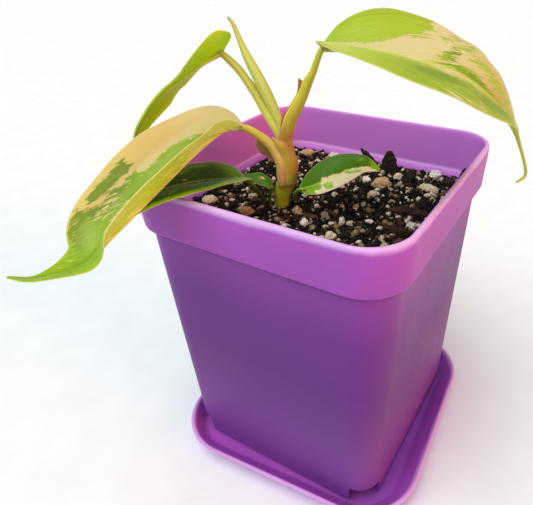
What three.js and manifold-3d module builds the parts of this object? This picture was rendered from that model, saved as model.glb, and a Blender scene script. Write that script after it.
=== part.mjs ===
// Potted variegated philodendron: a young plant in a square plastic pot that stands in a square saucer.
// Millimetres, +Z up. The origin lies on the pot's centre line, on the surface that the saucer stands on.
// The photographed wide face of the pot looks along -Y, and the narrow one along +X.
import * as THREE from "three";
import { mergeVertices } from "three/addons/utils/BufferGeometryUtils.js";
import Module from "manifold-3d";

const wasm = await Module();
wasm.setup();

// Space that neighbouring pieces keep between them.
const GAP = 0.3;
const SOCKET = 0.36;

// Driving dimensions. Half widths are measured from the centre line to a flat face.
const SAUCER = {
  rimHalf: 51.4,
  footHalf: 44.8,
  height: 9.2,
  floor: 1.2,
  turn: THREE.MathUtils.degToRad(4),
  offset: [1.5, -0.9],
};
const POT = {
  stands: 2,
  top: 123,
  rimHalf: 50,
  bandHalf: 49.3,
  bodyHalf: 46.7,
  baseHalf: 42,
  bandBottom: 106.7,
  bodyTop: 103.8,
  wall: 1.8,
  floorUnder: 11,
  floor: 1.6,
  notch: [12, 8.8],
  drain: { radius: 3, at: 30 },
};
const MIX = { top: 104.5, half: 44.5, bottom: POT.floorUnder + POT.floor + GAP, lump: 0.9 };
const BLADE = 0.7;
const CORNER_STEPS = 6;
const TUBE_SIDES = 9;

const COLOURS = {
  pot: "#a15ab8",
  saucer: "#a45cbc",
  mix: "#2a201b",
  stone: "#d8cdb8",
  bark: "#4a3024",
  cream: "#ddd094",
  lime: "#a9c33a",
  back: "#9fbb1b",
  dark: "#34581a",
  juvenile: "#5b8f1f",
  stem: "#8a8f14",
  sheath: "#cf9a76",
};

// Small helpers for solids.

function toManifold(geometry) {
  const bare = geometry.clone();
  bare.deleteAttribute("normal");
  bare.deleteAttribute("uv");
  const merged = mergeVertices(bare, 1e-4);
  return new wasm.Manifold(
    new wasm.Mesh({
      numProp: 3,
      vertProperties: new Float32Array(merged.attributes.position.array),
      triVerts: new Uint32Array(merged.index.array),
    }),
  );
}

function toGeometry(solid) {
  const mesh = solid.getMesh();
  const geometry = new THREE.BufferGeometry();
  geometry.setAttribute("position", new THREE.BufferAttribute(mesh.vertProperties, 3));
  geometry.setIndex(new THREE.BufferAttribute(mesh.triVerts, 1));
  return geometry;
}

// The largest body of a solid: a cut can leave crumbs behind.
function largest(solid) {
  return solid.decompose().reduce((best, body) => (body.volume() > best.volume() ? body : best));
}

function indexed(points, faces) {
  const geometry = new THREE.BufferGeometry();
  geometry.setAttribute("position", new THREE.Float32BufferAttribute(points.flatMap((p) => p.toArray()), 3));
  geometry.setIndex(faces);
  return geometry;
}

// Skins a stack of rings that all have the same number of points, and closes both ends with a fan.
// The rings run counterclockwise as seen from the end that the stack starts away from.
function loft(rings) {
  const count = rings[0].length;
  const points = rings.flat();
  const faces = [];
  for (let k = 0; k + 1 < rings.length; k += 1) {
    for (let i = 0; i < count; i += 1) {
      const a = k * count + i;
      const b = k * count + ((i + 1) % count);
      faces.push(a, b, b + count, a, b + count, a + count);
    }
  }
  const last = (rings.length - 1) * count;
  const centre = (ring) => ring.reduce((sum, p) => sum.add(p), new THREE.Vector3()).divideScalar(count);
  const first = points.push(centre(rings[0])) - 1;
  const end = points.push(centre(rings[rings.length - 1])) - 1;
  for (let i = 0; i < count; i += 1) {
    const next = (i + 1) % count;
    faces.push(first, next, i, end, last + i, last + next);
  }
  return indexed(points, faces);
}

// A level square ring with rounded corners, with extra points along each straight side.
function squareRing(half, radius, z, side = 0) {
  const points = [];
  const inner = Math.SQRT2 * (half - radius);
  const at = (corner, step) => {
    const diagonal = (corner - 0.5) * (Math.PI / 2);
    const angle = diagonal + (step / CORNER_STEPS - 0.5) * (Math.PI / 2);
    const x = inner * Math.cos(diagonal) + radius * Math.cos(angle);
    return new THREE.Vector3(x, inner * Math.sin(diagonal) + radius * Math.sin(angle), z);
  };
  for (let corner = 0; corner < 4; corner += 1) {
    for (let i = 0; i <= CORNER_STEPS; i += 1) points.push(at(corner, i));
    const from = at(corner, CORNER_STEPS);
    const to = at(corner + 1, 0);
    for (let i = 1; i <= side; i += 1) points.push(from.clone().lerp(to, i / (side + 1)));
  }
  return points;
}

function sweepRings(profile, side = 0) {
  return profile.map(([half, radius, z]) => squareRing(half, radius, z, side));
}

// Values between stations: a Catmull-Rom curve through the list, with t from 0 to 1.
function between(list, t) {
  const last = list.length - 1;
  const place = Math.min(Math.max(t, 0), 1) * last;
  const i = Math.min(Math.floor(place), last - 1);
  const f = place - i;
  const p1 = list[i];
  const p2 = list[i + 1];
  const p0 = i > 0 ? list[i - 1] : 2 * p1 - p2;
  const p3 = i + 2 <= last ? list[i + 2] : 2 * p2 - p1;
  const cubic = 3 * p1 - p0 - 3 * p2 + p3;
  return 0.5 * (2 * p1 + (p2 - p0) * f + (2 * p0 - 5 * p1 + 4 * p2 - p3) * f * f + cubic * f ** 3);
}

const column = (rows, k) => rows.map((row) => row[k]);

// A round stalk along a route of [x, y, z, radius] rows.
function stalk(route, { grow = 0, steps = 4, sides = TUBE_SIDES } = {}) {
  const count = (route.length - 1) * steps;
  const at = (t) => new THREE.Vector3(...[0, 1, 2].map((k) => between(column(route, k), t)));
  const rings = [];
  let across = null;
  for (let j = 0; j <= count; j += 1) {
    const t = j / count;
    const centre = at(t);
    const along = at(Math.min(t + 0.01, 1)).sub(at(Math.max(t - 0.01, 0))).normalize();
    across = (across ?? new THREE.Vector3(1, 0, 0)).clone();
    across.addScaledVector(along, -across.dot(along)).normalize();
    const up = along.clone().cross(across);
    const radius = between(column(route, 3), t) + grow;
    if (j === 0) centre.addScaledVector(along, -grow);
    if (j === count) centre.addScaledVector(along, grow);
    const ring = [];
    for (let i = 0; i < sides; i += 1) {
      const angle = (i / sides) * Math.PI * 2;
      const point = centre.clone().addScaledVector(across, radius * Math.cos(angle));
      ring.push(point.addScaledVector(up, radius * Math.sin(angle)));
    }
    rings.push(ring);
  }
  return toManifold(loft(rings));
}

// A thin sheet of even thickness over a grid of points, with both faces split alike.
// ridge(j) is how far the lower face bulges at column j.
function sheet(grid, thickness, ridge = () => 0) {
  const rows = grid.length;
  const columns = grid[0].length;
  const normalAt = (i, j) => {
    const along = grid[Math.min(i + 1, rows - 1)][j].clone().sub(grid[Math.max(i - 1, 0)][j]);
    const across = grid[i][Math.min(j + 1, columns - 1)].clone().sub(grid[i][Math.max(j - 1, 0)]);
    return along.cross(across).normalize();
  };
  const upper = [];
  const lower = [];
  for (let i = 0; i < rows; i += 1) {
    for (let j = 0; j < columns; j += 1) {
      const normal = normalAt(i, j);
      upper.push(grid[i][j].clone().addScaledVector(normal, thickness / 2));
      lower.push(grid[i][j].clone().addScaledVector(normal, -thickness / 2 - ridge(i / (rows - 1), j)));
    }
  }
  const offset = rows * columns;
  const faces = [];
  const quad = (a, b, c, d) => faces.push(a, b, c, a, c, d);
  for (let i = 0; i + 1 < rows; i += 1) {
    for (let j = 0; j + 1 < columns; j += 1) {
      const a = i * columns + j;
      const d = a + columns;
      quad(a, d, d + 1, a + 1);
      faces.push(offset + a, offset + d + 1, offset + d, offset + a, offset + a + 1, offset + d + 1);
    }
  }
  const wall = (a, b) => quad(a, b, b + offset, a + offset);
  for (let i = 0; i + 1 < rows; i += 1) {
    wall((i + 1) * columns, i * columns);
    wall(i * columns + columns - 1, (i + 1) * columns + columns - 1);
  }
  for (let j = 0; j + 1 < columns; j += 1) {
    wall(j, j + 1);
    wall((rows - 1) * columns + j + 1, (rows - 1) * columns + j);
  }
  return toManifold(indexed([...upper, ...lower], faces));
}

// Leaves. A blade is described at evenly numbered stations along its midrib:
// reach from the shoot in the heading's direction, drift to its left, height, the blade's roll about the
// midrib and the rise of each half in degrees, and the half widths to the left and to the right.
const SHOOT = new THREE.Vector2(-10.5, -11.5);
const ACROSS = [-1, -0.55, -0.12, 0, 0.12, 0.55, 1];
const CROWN = 0.04;

const LEAVES = {
  leaf_front: {
    colour: COLOURS.cream,
    heading: 246,
    steps: 24,
    lobe: 0,
    rib: 0.7,
    stations: [
      [10.5, -3.0, 136.5, 9, 50, 0.6, 3.0],
      [17.5, -4.0, 137.0, 2, 47, 6.0, 9.5],
      [27.0, -1.5, 134.0, -1, 40, 11.0, 13.5],
      [37.5, 2.5, 129.5, -1, 40, 14.0, 16.0],
      [49.0, 6.5, 124.0, 1, 40, 15.0, 15.5],
      [61.0, 10.5, 118.5, 2, 37, 13.5, 13.0],
      [69.5, 13.0, 115.0, -1, 21, 10.0, 7.0],
      [80.5, 13.5, 116.0, 6, 14, 5.0, 1.5],
      [87.0, 10.5, 117.5, 8, 5, 0.4, 0.4],
    ],
    petiole: [
      [-8.7, -12.7, 115.0, 1.6],
      [-9.0, -12.8, 118.5, 1.7],
      [-9.0, -12.7, 122.5, 1.7],
      [-10.5, -13.0, 126.5, 1.7],
      [-12.0, -14.2, 130.0, 1.6],
      [-14.5, -16.5, 133.3, 1.4],
      [-17.0, -19.0, 136.0, 1.2],
      [-18.6, -21.6, 136.8, 0.9],
    ],
  },
  leaf_right: {
    colour: COLOURS.lime,
    heading: 8,
    steps: 27,
    lobe: 0,
    rib: 0.8,
    stations: [
      [19.5, -6.0, 163.0, 5, 38, 3.0, 6.0],
      [27.0, -7.0, 163.7, 10, 24, 14.0, 14.0],
      [37.0, -8.5, 163.5, 10, 16, 18.5, 18.8],
      [48.5, -8.8, 161.5, 8, 10, 20.5, 20.5],
      [60.0, -7.5, 157.5, 4, 7, 19.0, 19.0],
      [68.0, -3.8, 151.0, -2, 11, 15.5, 14.0],
      [73.0, 3.0, 144.0, -9, 16, 10.5, 7.0],
      [76.5, 9.2, 136.0, -15, 19, 5.2, 0.8],
      [80.0, 12.2, 125.5, -19, 22, 1.5, 0.4],
      [77.8, 10.6, 122.4, -19, 22, 0.4, 0.4],
    ],
    petiole: [
      [-9.4, -8.2, 131.2, 1.9],
      [-8.5, -8.5, 135.0, 2.1],
      [-6.5, -9.0, 139.0, 2.1],
      [-4.0, -10.0, 143.0, 2.0],
      [-1.0, -10.5, 147.5, 1.8],
      [1.5, -11.5, 151.5, 1.5],
      [4.5, -12.5, 155.0, 1.1],
      [7.0, -13.5, 158.5, 1.0],
      [9.6, -14.6, 162.4, 0.9],
      [12.4, -15.0, 163.0, 0.7],
    ],
  },
  leaf_back: {
    colour: COLOURS.back,
    heading: 180,
    steps: 20,
    lobe: 3.4,
    rib: 0.7,
    stations: [
      [33.5, -14.5, 154.0, -2, 28, 7.0, 7.5],
      [35.0, -6.0, 152.0, -3, 11, 9.0, 8.5],
      [38.0, 1.5, 148.6, -6, -4, 9.5, 9.0],
      [41.8, 8.4, 144.4, -9, -15, 8.2, 8.0],
      [45.0, 14.4, 138.8, -12, -22, 6.2, 6.3],
      [47.5, 19.0, 132.0, -15, -28, 3.7, 4.0],
      [48.2, 21.4, 123.6, -20, -31, 1.0, 0.9],
    ],
    petiole: [
      [-11.6, -7.6, 128.4, 1.2],
      [-13.4, -6.8, 130.6, 1.3],
      [-16.5, -5.5, 133.5, 1.5],
      [-21.0, -3.5, 137.0, 1.5],
      [-25.5, -1.5, 141.0, 1.5],
      [-30.0, 0.0, 145.0, 1.5],
      [-34.5, 1.5, 148.5, 1.5],
      [-39.5, 2.5, 151.5, 1.4],
      [-43.8, 2.6, 153.8, 1.1],
      [-45.0, -0.6, 153.4, 0.8],
    ],
  },
  leaf_low_left: {
    colour: COLOURS.dark,
    heading: 250,
    steps: 20,
    lobe: 0,
    rib: 0.2,
    stations: [
      [11.0, -4.0, 118.0, -6, 19, 2.2, 1.8],
      [15.5, -1.6, 121.0, -7, 20, 5.5, 6.0],
      [22.0, -0.5, 122.8, -7, 17, 8.0, 8.6],
      [29.0, -1.0, 124.2, -5, 11, 9.5, 9.5],
      [37.0, -1.8, 124.8, -3, 6, 9.5, 9.2],
      [45.0, -4.1, 123.6, -1, 4, 8.4, 8.6],
      [53.0, -6.5, 120.5, -3, 3, 6.6, 7.6],
      [60.6, -6.4, 116.2, 4, 10, 3.6, 3.6],
      [65.7, -5.8, 111.1, 6, 12, 0.5, 0.5],
    ],
    petiole: [
      [-17.0, -13.3, 98.0, 0.9],
      [-17.0, -13.5, 103.5, 0.9],
      [-16.6, -14.0, 106.5, 0.9],
      [-16.6, -15.0, 109.5, 0.9],
      [-16.8, -17.5, 113.1, 0.9],
      [-16.9, -19.7, 116.1, 0.8],
      [-18.2, -21.4, 118.4, 0.8],
      [-18.6, -23.2, 119.6, 0.6],
    ],
  },
  leaf_low_right: {
    colour: COLOURS.juvenile,
    heading: 22,
    steps: 14,
    lobe: 0,
    rib: 0.3,
    stations: [
      [8.5, -9.0, 117.0, 25, 5, 0.8, 2.5],
      [13.5, -5.5, 117.2, 25, 10, 5.8, 5.4],
      [18.5, -2.5, 118.5, 25, 14, 7.8, 6.8],
      [23.8, 0.3, 120.0, 25, 17, 7.4, 6.0],
      [29.2, 2.5, 120.8, 25, 19, 4.8, 3.2],
      [35.0, 3.5, 119.5, 25, 19, 0.7, 0.7],
    ],
    petiole: [
      [-13.2, -4.6, 98.5, 0.8],
      [-11.0, -5.4, 104.0, 0.8],
      [-6.9, -8.5, 108.0, 0.7],
      [-3.5, -13.0, 112.5, 0.7],
      [0.8, -16.6, 116.8, 0.7],
      [3.0, -16.3, 117.2, 0.6],
    ],
  },
  leaf_small_left: {
    colour: COLOURS.juvenile,
    heading: 232,
    steps: 10,
    lobe: 0,
    rib: 0.2,
    stations: [
      [3.9, 1.6, 113.8, -20, 8, 2.6, 2.3],
      [5.2, 0.1, 115.5, -20, 8, 3.6, 3.4],
      [7.1, -1.8, 116.5, -20, 8, 2.6, 3.2],
      [9.3, -4.2, 116.6, -20, 8, 1.5, 2.5],
      [11.9, -6.4, 116.9, -20, 8, 0.8, 0.8],
    ],
    petiole: [
      [-15.8, -10.6, 98.5, 0.75],
      [-15.5, -11.3, 104.0, 0.75],
      [-14.6, -13.3, 107.5, 0.7],
      [-13.2, -14.8, 110.9, 0.7],
      [-11.8, -15.6, 113.8, 0.7],
      [-12.0, -16.7, 114.9, 0.6],
    ],
  },
};

// The place, direction, side and upward normal of a blade at t along its midrib.
function bladeFrame(leaf, t) {
  const heading = THREE.MathUtils.degToRad(leaf.heading);
  const out = new THREE.Vector3(Math.cos(heading), Math.sin(heading), 0);
  const left = new THREE.Vector3(-out.y, out.x, 0);
  const place = (s) => {
    const [reach, drift, height] = [0, 1, 2].map((k) => between(column(leaf.stations, k), s));
    const point = new THREE.Vector3(SHOOT.x, SHOOT.y, height);
    return point.addScaledVector(out, reach).addScaledVector(left, drift);
  };
  const along = place(Math.min(t + 1e-3, 1)).sub(place(Math.max(t - 1e-3, 0))).normalize();
  const side = left.clone().addScaledVector(along, -left.dot(along)).normalize();
  const roll = THREE.MathUtils.degToRad(between(column(leaf.stations, 3), t));
  side.applyAxisAngle(along, roll);
  return { place: place(t), along, side, up: along.clone().cross(side) };
}

function bladePoint(leaf, t, u) {
  const { place, along, side, up } = bladeFrame(leaf, t);
  const rise = THREE.MathUtils.degToRad(between(column(leaf.stations, 4), t));
  const width = Math.abs(u) * Math.max(between(column(leaf.stations, u > 0 ? 5 : 6), t), 0.3);
  const back = leaf.lobe * Math.exp(-((t / 0.08) ** 2)) * Math.sin(Math.PI * Math.abs(u));
  const bulge = (width / Math.max(Math.abs(u), 0.01)) * CROWN * 4 * Math.abs(u) * (1 - Math.abs(u));
  place.addScaledVector(side, Math.sign(u) * (width * Math.cos(rise) - bulge * Math.sin(rise)));
  return place.addScaledVector(up, width * Math.sin(rise) + bulge * Math.cos(rise)).addScaledVector(along, -back);
}

function leafSolid(leaf) {
  const grid = [];
  for (let i = 0; i <= leaf.steps; i += 1) {
    grid.push(ACROSS.map((u) => bladePoint(leaf, i / leaf.steps, u)));
  }
  const middle = (ACROSS.length - 1) / 2;
  const ridge = (t, j) => (j === middle ? leaf.rib * (1 - t) : 0);
  return largest(sheet(grid, BLADE, ridge).add(stalk(leaf.petiole, { steps: 2 })));
}

// The shoot: a short thick internode that carries the rolled petiole bases, up to where they part.
const INTERNODE = [
  [-11.6, -10.4, 92.0, 2.3],
  [-11.5, -10.5, 104.0, 2.6],
  [-11.0, -10.5, 107.5, 2.7],
  [-10.5, -10.5, 110.5, 3.0],
  [-9.6, -10.4, 114.2, 2.8],
];
const BUNDLE = [
  [-9.4, -9.8, 111.0, 1.8],
  [-8.5, -8.6, 114.0, 2.1],
  [-8.4, -8.0, 118.0, 2.2],
  [-8.6, -7.7, 123.0, 2.2],
  [-9.5, -7.9, 127.5, 2.4],
  [-10.2, -8.0, 130.2, 2.5],
];

// The next leaf, still rolled into a spear.
const SPEAR = [
  [-12.0, -6.8, 128.6, 1.1],
  [-13.9, -4.9, 131.6, 1.2],
  [-16.4, -2.7, 135.5, 1.6],
  [-19.8, -1.2, 139.9, 1.9],
  [-23.4, 0.1, 144.2, 2.0],
  [-27.2, 1.5, 148.3, 1.9],
  [-31.2, 2.9, 152.5, 1.7],
  [-34.8, 4.4, 156.8, 1.2],
  [-38.0, 6.0, 160.8, 0.9],
  [-40.5, 7.1, 163.8, 0.7],
  [-42.7, 7.4, 165.6, 0.5],
];

// The papery sheath beside the front petiole: its inner and outer edge from the top down.
const SHEATH_INNER = [
  [-15.7, -12.6, 131.8],
  [-14.4, -11.8, 130.0],
  [-12.7, -10.9, 127.7],
  [-11.9, -10.6, 125.2],
  [-11.9, -10.9, 122.6],
];
const SHEATH_OUTER = [
  [-17.6, -13.4, 131.4],
  [-18.5, -13.8, 128.7],
  [-17.5, -13.2, 125.7],
  [-14.9, -11.8, 123.7],
  [-12.9, -11.0, 121.6],
];

// Stones that lie in the surface: centre x and y, length, width, height, and turn in degrees.
const STONES = [
  [29.7, 39.5, 5.0, 4.6, 4.6, 10],
  [31.1, 28.3, 9.2, 4.6, 4.2, -14],
  [13.5, 22.6, 8.4, 6.4, 5.6, 24],
  [16.7, 32.4, 4.9, 4.1, 4.0, 60],
  [-30.0, 37.5, 6.9, 4.4, 4.2, 20],
  [-18.8, 40.6, 4.1, 3.8, 3.8, 0],
  [7.0, 22.6, 3.6, 3.4, 3.2, 30],
  [-37.6, -20.0, 6.0, 4.4, 4.0, 35],
  [-24.7, -10.2, 3.6, 3.4, 3.4, 0],
  [-19.4, -21.2, 5.0, 4.0, 3.8, 20],
  [2.9, -17.8, 3.2, 3.4, 3.8, 80],
  [-3.4, -12.4, 3.0, 3.8, 4.6, 70],
  [7.0, -10.6, 2.8, 3.6, 4.0, 90],
  [15.2, -20.9, 4.2, 3.6, 3.4, 15],
  [36.0, -1.6, 4.4, 3.6, 3.6, 40],
  [13.2, 0.8, 2.8, 2.4, 2.4, 0],
  [22.6, 12.0, 3.0, 2.6, 2.4, 30],
  [14.6, 12.4, 3.8, 3.2, 3.0, 50],
  [22.4, -6.8, 3.0, 2.2, 2.2, 10],
];
const STONE_SUNK = 0.16;

// Bark chips: centre x, y and z, length, width, thickness, then turn, pitch and roll in degrees.
const BARK = [
  [0.6, 38.4, 107.9, 12.5, 3.4, 1.8, 156, 30, 12],
  [10.4, 37.2, 107.5, 11.2, 6.8, 2.6, 118, 74, 4],
  [21.8, 31.6, 106.2, 8, 4.6, 3.0, 62, 50, 8],
  [36.2, 36.0, 105.6, 7, 5.0, 3.0, 110, -8, -6],
  [41.0, 38.4, 107.6, 7.6, 2.4, 2.0, 84, 66, 0],
  [33.4, 6.2, 105.0, 15, 3.6, 2.8, 8, 2, 5],
  [33.0, -7.0, 104.8, 9.5, 3.0, 2.6, 4, 3, 0],
  [20.6, -24.6, 105.0, 4.2, 2.4, 2.4, 95, 0, 10],
  [-40.0, -8.0, 105.4, 7, 2.6, 2.4, 70, 14, 0],
];

// A repeatable stream of numbers from 0 to 1.
function seeded(seed) {
  let state = seed;
  return () => {
    state = (state * 1664525 + 1013904223) % 4294967296;
    return state / 4294967296;
  };
}

function potSolid() {
  const { stands, top, rimHalf, bandHalf, bodyHalf, baseHalf, bandBottom, bodyTop, wall } = POT;
  const floorTop = POT.floorUnder + POT.floor;
  const shell = toManifold(
    loft(
      sweepRings([
        [baseHalf - wall + 0.4, 7.6, POT.floorUnder],
        [baseHalf - wall, 7.3, stands],
        [baseHalf - 0.5, 8.6, stands],
        [baseHalf, 9, stands + 0.8],
        [bodyHalf, 12.5, bodyTop],
        [bandHalf - 0.9, 14.3, bodyTop + 1.3],
        [bandHalf - 0.1, 14.9, bandBottom - 0.5],
        [bandHalf, 15, bandBottom + 0.6],
        [rimHalf, 15, top - 1],
        [rimHalf - 0.3, 14.8, top - 0.2],
        [rimHalf - 0.9, 14.2, top],
        [rimHalf - wall + 0.2, 13.4, top - 0.1],
        [rimHalf - wall, 13.2, top - 0.8],
        [bandHalf - wall, 13.2, bandBottom],
        [bandHalf - wall - 0.4, 12.8, bandBottom - 0.7],
        [bodyHalf - wall + 0.5, 11, bodyTop + 0.7],
        [bodyHalf - wall, 10.6, bodyTop - 0.4],
        [baseHalf - wall + 1.2, 8.6, floorTop + 1.2],
        [baseHalf - wall, 7.6, floorTop],
      ]),
    ),
  );
  const [notchWidth, notchHeight] = POT.notch;
  const box = toManifold(new THREE.BoxGeometry(26, notchWidth, notchHeight + 2));
  const hole = toManifold(new THREE.CylinderGeometry(POT.drain.radius, POT.drain.radius, 6, 12).rotateX(Math.PI / 2));
  let pot = shell;
  for (let corner = 0; corner < 4; corner += 1) {
    const turn = 45 + corner * 90;
    const angle = THREE.MathUtils.degToRad(turn);
    const reach = baseHalf * 1.3;
    const notch = box.rotate([0, 0, turn]);
    const middle = stands + notchHeight / 2 - 1;
    pot = pot.subtract(notch.translate([reach * Math.cos(angle), reach * Math.sin(angle), middle]));
    const at = POT.drain.at * Math.SQRT2;
    pot = pot.subtract(hole.translate([at * Math.cos(angle), at * Math.sin(angle), POT.floorUnder]));
  }
  return pot;
}

// A shallow tray whose wall slopes out at about 40 degrees. Each row holds a half width, a corner radius, a
// height, and how far the row is centred on the pot (1) or on the rim (0).
function saucerSolid() {
  const { rimHalf, footHalf, height, floor, turn, offset } = SAUCER;
  const pot = new THREE.Vector3(-offset[0], -offset[1], 0).applyAxisAngle(new THREE.Vector3(0, 0, 1), -turn);
  const rows = [
    [footHalf - 1.8, 14.6, 0, 1],
    [footHalf - 0.2, 15.2, 0.15, 1],
    [footHalf + 0.9, 15.8, floor - 0.1, 0.95],
    [rimHalf - 0.9, 22, height - 1.8, 0.05],
    [rimHalf - 0.3, 22.8, height - 1.5, 0],
    [rimHalf, 23.1, height - 0.9, 0],
    [rimHalf - 0.2, 22.9, height - 0.3, 0],
    [rimHalf - 0.8, 22.5, height, 0],
    [rimHalf - 1.4, 22.2, height - 0.3, 0],
    [rimHalf - 1.8, 21.8, height - 1.1, 0.05],
    [footHalf + 1, 16.2, floor + 1.7, 0.88],
    [footHalf, 15.3, floor + 0.5, 1],
    [footHalf - 1.4, 14.6, floor, 1],
  ];
  const rings = rows.map(([half, radius, z, share]) =>
    squareRing(half, radius, z).map((point) => point.addScaledVector(pot, share)),
  );
  return toManifold(loft(rings));
}

// Height of the mix over its mean level: shallow mounds and lumps.
function mixRelief(x, y) {
  const mound = 0.8 * Math.cos(x / 21 + 0.6) * Math.cos(y / 19 - 0.3);
  const lumps = Math.sin(x * 0.93 + 1.7 * Math.sin(y * 0.41)) * Math.sin(y * 0.87 + 1.3 * Math.sin(x * 0.37));
  const crumbs = Math.sin(x * 1.9 + y * 0.7) * Math.sin(y * 2.1 - x * 0.6);
  return mound + MIX.lump * (0.7 * lumps + 0.3 * crumbs);
}

function mixBody() {
  const side = 10;
  const rings = sweepRings(
    [
      [POT.baseHalf - POT.wall - 0.6, 7, MIX.bottom],
      [POT.baseHalf - POT.wall + 0.6, 8, MIX.bottom + 1.6],
      [MIX.half - 0.3, 10.1, MIX.top - 3],
      [MIX.half, 10.2, MIX.top - 0.6],
    ],
    side,
  );
  const edge = squareRing(MIX.half, 10.2, MIX.top, side);
  for (const share of [0.985, 0.91, 0.82, 0.73, 0.64, 0.55, 0.46, 0.36, 0.26, 0.14]) {
    rings.push(
      edge.map((p) => new THREE.Vector3(p.x * share, p.y * share, MIX.top + mixRelief(p.x * share, p.y * share))),
    );
  }
  return toManifold(loft(rings));
}

function stoneSolid([x, y, length, width, height, turn], index, grow = 0) {
  const random = seeded(101 + index);
  const geometry = mergeVertices(new THREE.IcosahedronGeometry(1, 1).deleteAttribute("normal").deleteAttribute("uv"));
  const position = geometry.attributes.position;
  const point = new THREE.Vector3();
  for (let i = 0; i < position.count; i += 1) {
    point.fromBufferAttribute(position, i);
    point.multiplyScalar(0.9 + 0.22 * random());
    point.set((point.x * length) / 2, (point.y * width) / 2, (point.z * height) / 2);
    point.addScaledVector(point.clone().normalize(), grow);
    position.setXYZ(i, point.x, point.y, point.z);
  }
  geometry.rotateZ(THREE.MathUtils.degToRad(turn));
  geometry.translate(x, y, MIX.top + mixRelief(x, y) + height * STONE_SUNK);
  return toManifold(geometry);
}

function chipSolid([x, y, z, length, width, thickness, turn, pitch, roll], index, grow = 0) {
  const random = seeded(301 + index);
  const geometry = mergeVertices(
    new THREE.BoxGeometry(length, width, thickness, 3, 1, 1).deleteAttribute("normal").deleteAttribute("uv"),
  );
  const position = geometry.attributes.position;
  const point = new THREE.Vector3();
  for (let i = 0; i < position.count; i += 1) {
    point.fromBufferAttribute(position, i);
    const end = (2 * point.x) / length;
    const taper = 1 - 0.7 * Math.max(end, 0) ** 1.5 - 0.2 * Math.max(-end, 0);
    point.y *= taper * (0.85 + 0.3 * random());
    point.z *= taper * (0.85 + 0.3 * random());
    point.addScaledVector(new THREE.Vector3(Math.sign(point.x), Math.sign(point.y), Math.sign(point.z)), grow);
    position.setXYZ(i, point.x, point.y, point.z);
  }
  const turns = [roll, -pitch, turn].map((angle) => THREE.MathUtils.degToRad(angle));
  geometry.rotateX(turns[0]).rotateY(turns[1]).rotateZ(turns[2]);
  geometry.translate(x, y, z);
  return toManifold(geometry);
}

function sheathSolid() {
  const curve = (rows, t) => new THREE.Vector3(...[0, 1, 2].map((k) => between(column(rows, k), t)));
  const grid = [];
  for (let i = 0; i <= 10; i += 1) {
    const inner = curve(SHEATH_INNER, i / 10);
    const outer = curve(SHEATH_OUTER, i / 10);
    grid.push([0, 0.33, 0.67, 1].map((share) => inner.clone().lerp(outer, share)));
  }
  return sheet(grid, 0.6);
}

// The assembly.

const nodes = new Map();
const add = (name, solid, colour, roughness) => nodes.set(name, { solid, colour, roughness });

add("pot", potSolid(), COLOURS.pot, 0.38);

const bundle = stalk(BUNDLE, { steps: 2 });
const frontPetiole = stalk(LEAVES.leaf_front.petiole, { grow: GAP, steps: 2 });
const backPetiole = stalk(LEAVES.leaf_back.petiole, { grow: GAP, steps: 2 });
const rightPetiole = stalk(LEAVES.leaf_right.petiole, { grow: GAP, steps: 2 });
const shoot = stalk(INTERNODE, { steps: 2 }).add(bundle);
add("main_stem", largest(shoot.subtract(frontPetiole)), COLOURS.stem, 0.4);
const shootRoom = stalk(INTERNODE, { grow: GAP, steps: 2 }).add(stalk(BUNDLE, { grow: GAP, steps: 2 }));

const leaves = {};
for (const [name, leaf] of Object.entries(LEAVES)) leaves[name] = leafSolid(leaf);
leaves.leaf_back = largest(leaves.leaf_back.subtract(rightPetiole).subtract(shootRoom));
leaves.leaf_right = largest(leaves.leaf_right.subtract(shootRoom));
for (const [name, leaf] of Object.entries(LEAVES)) add(name, leaves[name], leaf.colour, 0.42);

const spear = stalk(SPEAR, { steps: 2 }).subtract(backPetiole).subtract(rightPetiole).subtract(shootRoom);
add("new_leaf", largest(spear), COLOURS.lime, 0.42);
add("petiole_sheath", largest(sheathSolid().subtract(frontPetiole).subtract(shootRoom)), COLOURS.sheath, 0.5);

let mix = mixBody();
mix = mix.subtract(stalk(INTERNODE, { grow: GAP, steps: 2 }));
for (const name of ["leaf_low_left", "leaf_low_right", "leaf_small_left"]) {
  mix = mix.subtract(stalk(LEAVES[name].petiole.slice(0, 3), { grow: GAP, steps: 2 }));
}
STONES.forEach((stone, index) => {
  add(`stone_${String(index + 1).padStart(2, "0")}`, stoneSolid(stone, index), COLOURS.stone, 0.9);
  mix = mix.subtract(stoneSolid(stone, index, SOCKET));
});
BARK.forEach((chip, index) => {
  add(`bark_${index + 1}`, chipSolid(chip, index), COLOURS.bark, 0.9);
  mix = mix.subtract(chipSolid(chip, index, SOCKET));
});
add("potting_mix", largest(mix), COLOURS.mix, 0.95);

const meshOf = (name, { solid, colour, roughness }) => {
  const material = new THREE.MeshStandardMaterial({ color: colour, roughness, metalness: 0 });
  const mesh = new THREE.Mesh(toGeometry(solid), material);
  mesh.name = name;
  return mesh;
};

const object = new THREE.Group();
for (const [name, node] of nodes) object.add(meshOf(name, node));

const saucer = meshOf("saucer", { solid: saucerSolid(), colour: COLOURS.saucer, roughness: 0.38 });
saucer.position.set(SAUCER.offset[0], SAUCER.offset[1], 0);
saucer.rotation.z = SAUCER.turn;
object.add(saucer);

export default object;
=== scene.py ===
"""A young variegated philodendron in a square purple pot on its saucer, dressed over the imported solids."""
import math

import bmesh
import bpy
import numpy as np
from bpy.props import FloatProperty, FloatVectorProperty, IntProperty, PointerProperty
from mathutils import Matrix, Vector, noise


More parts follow.
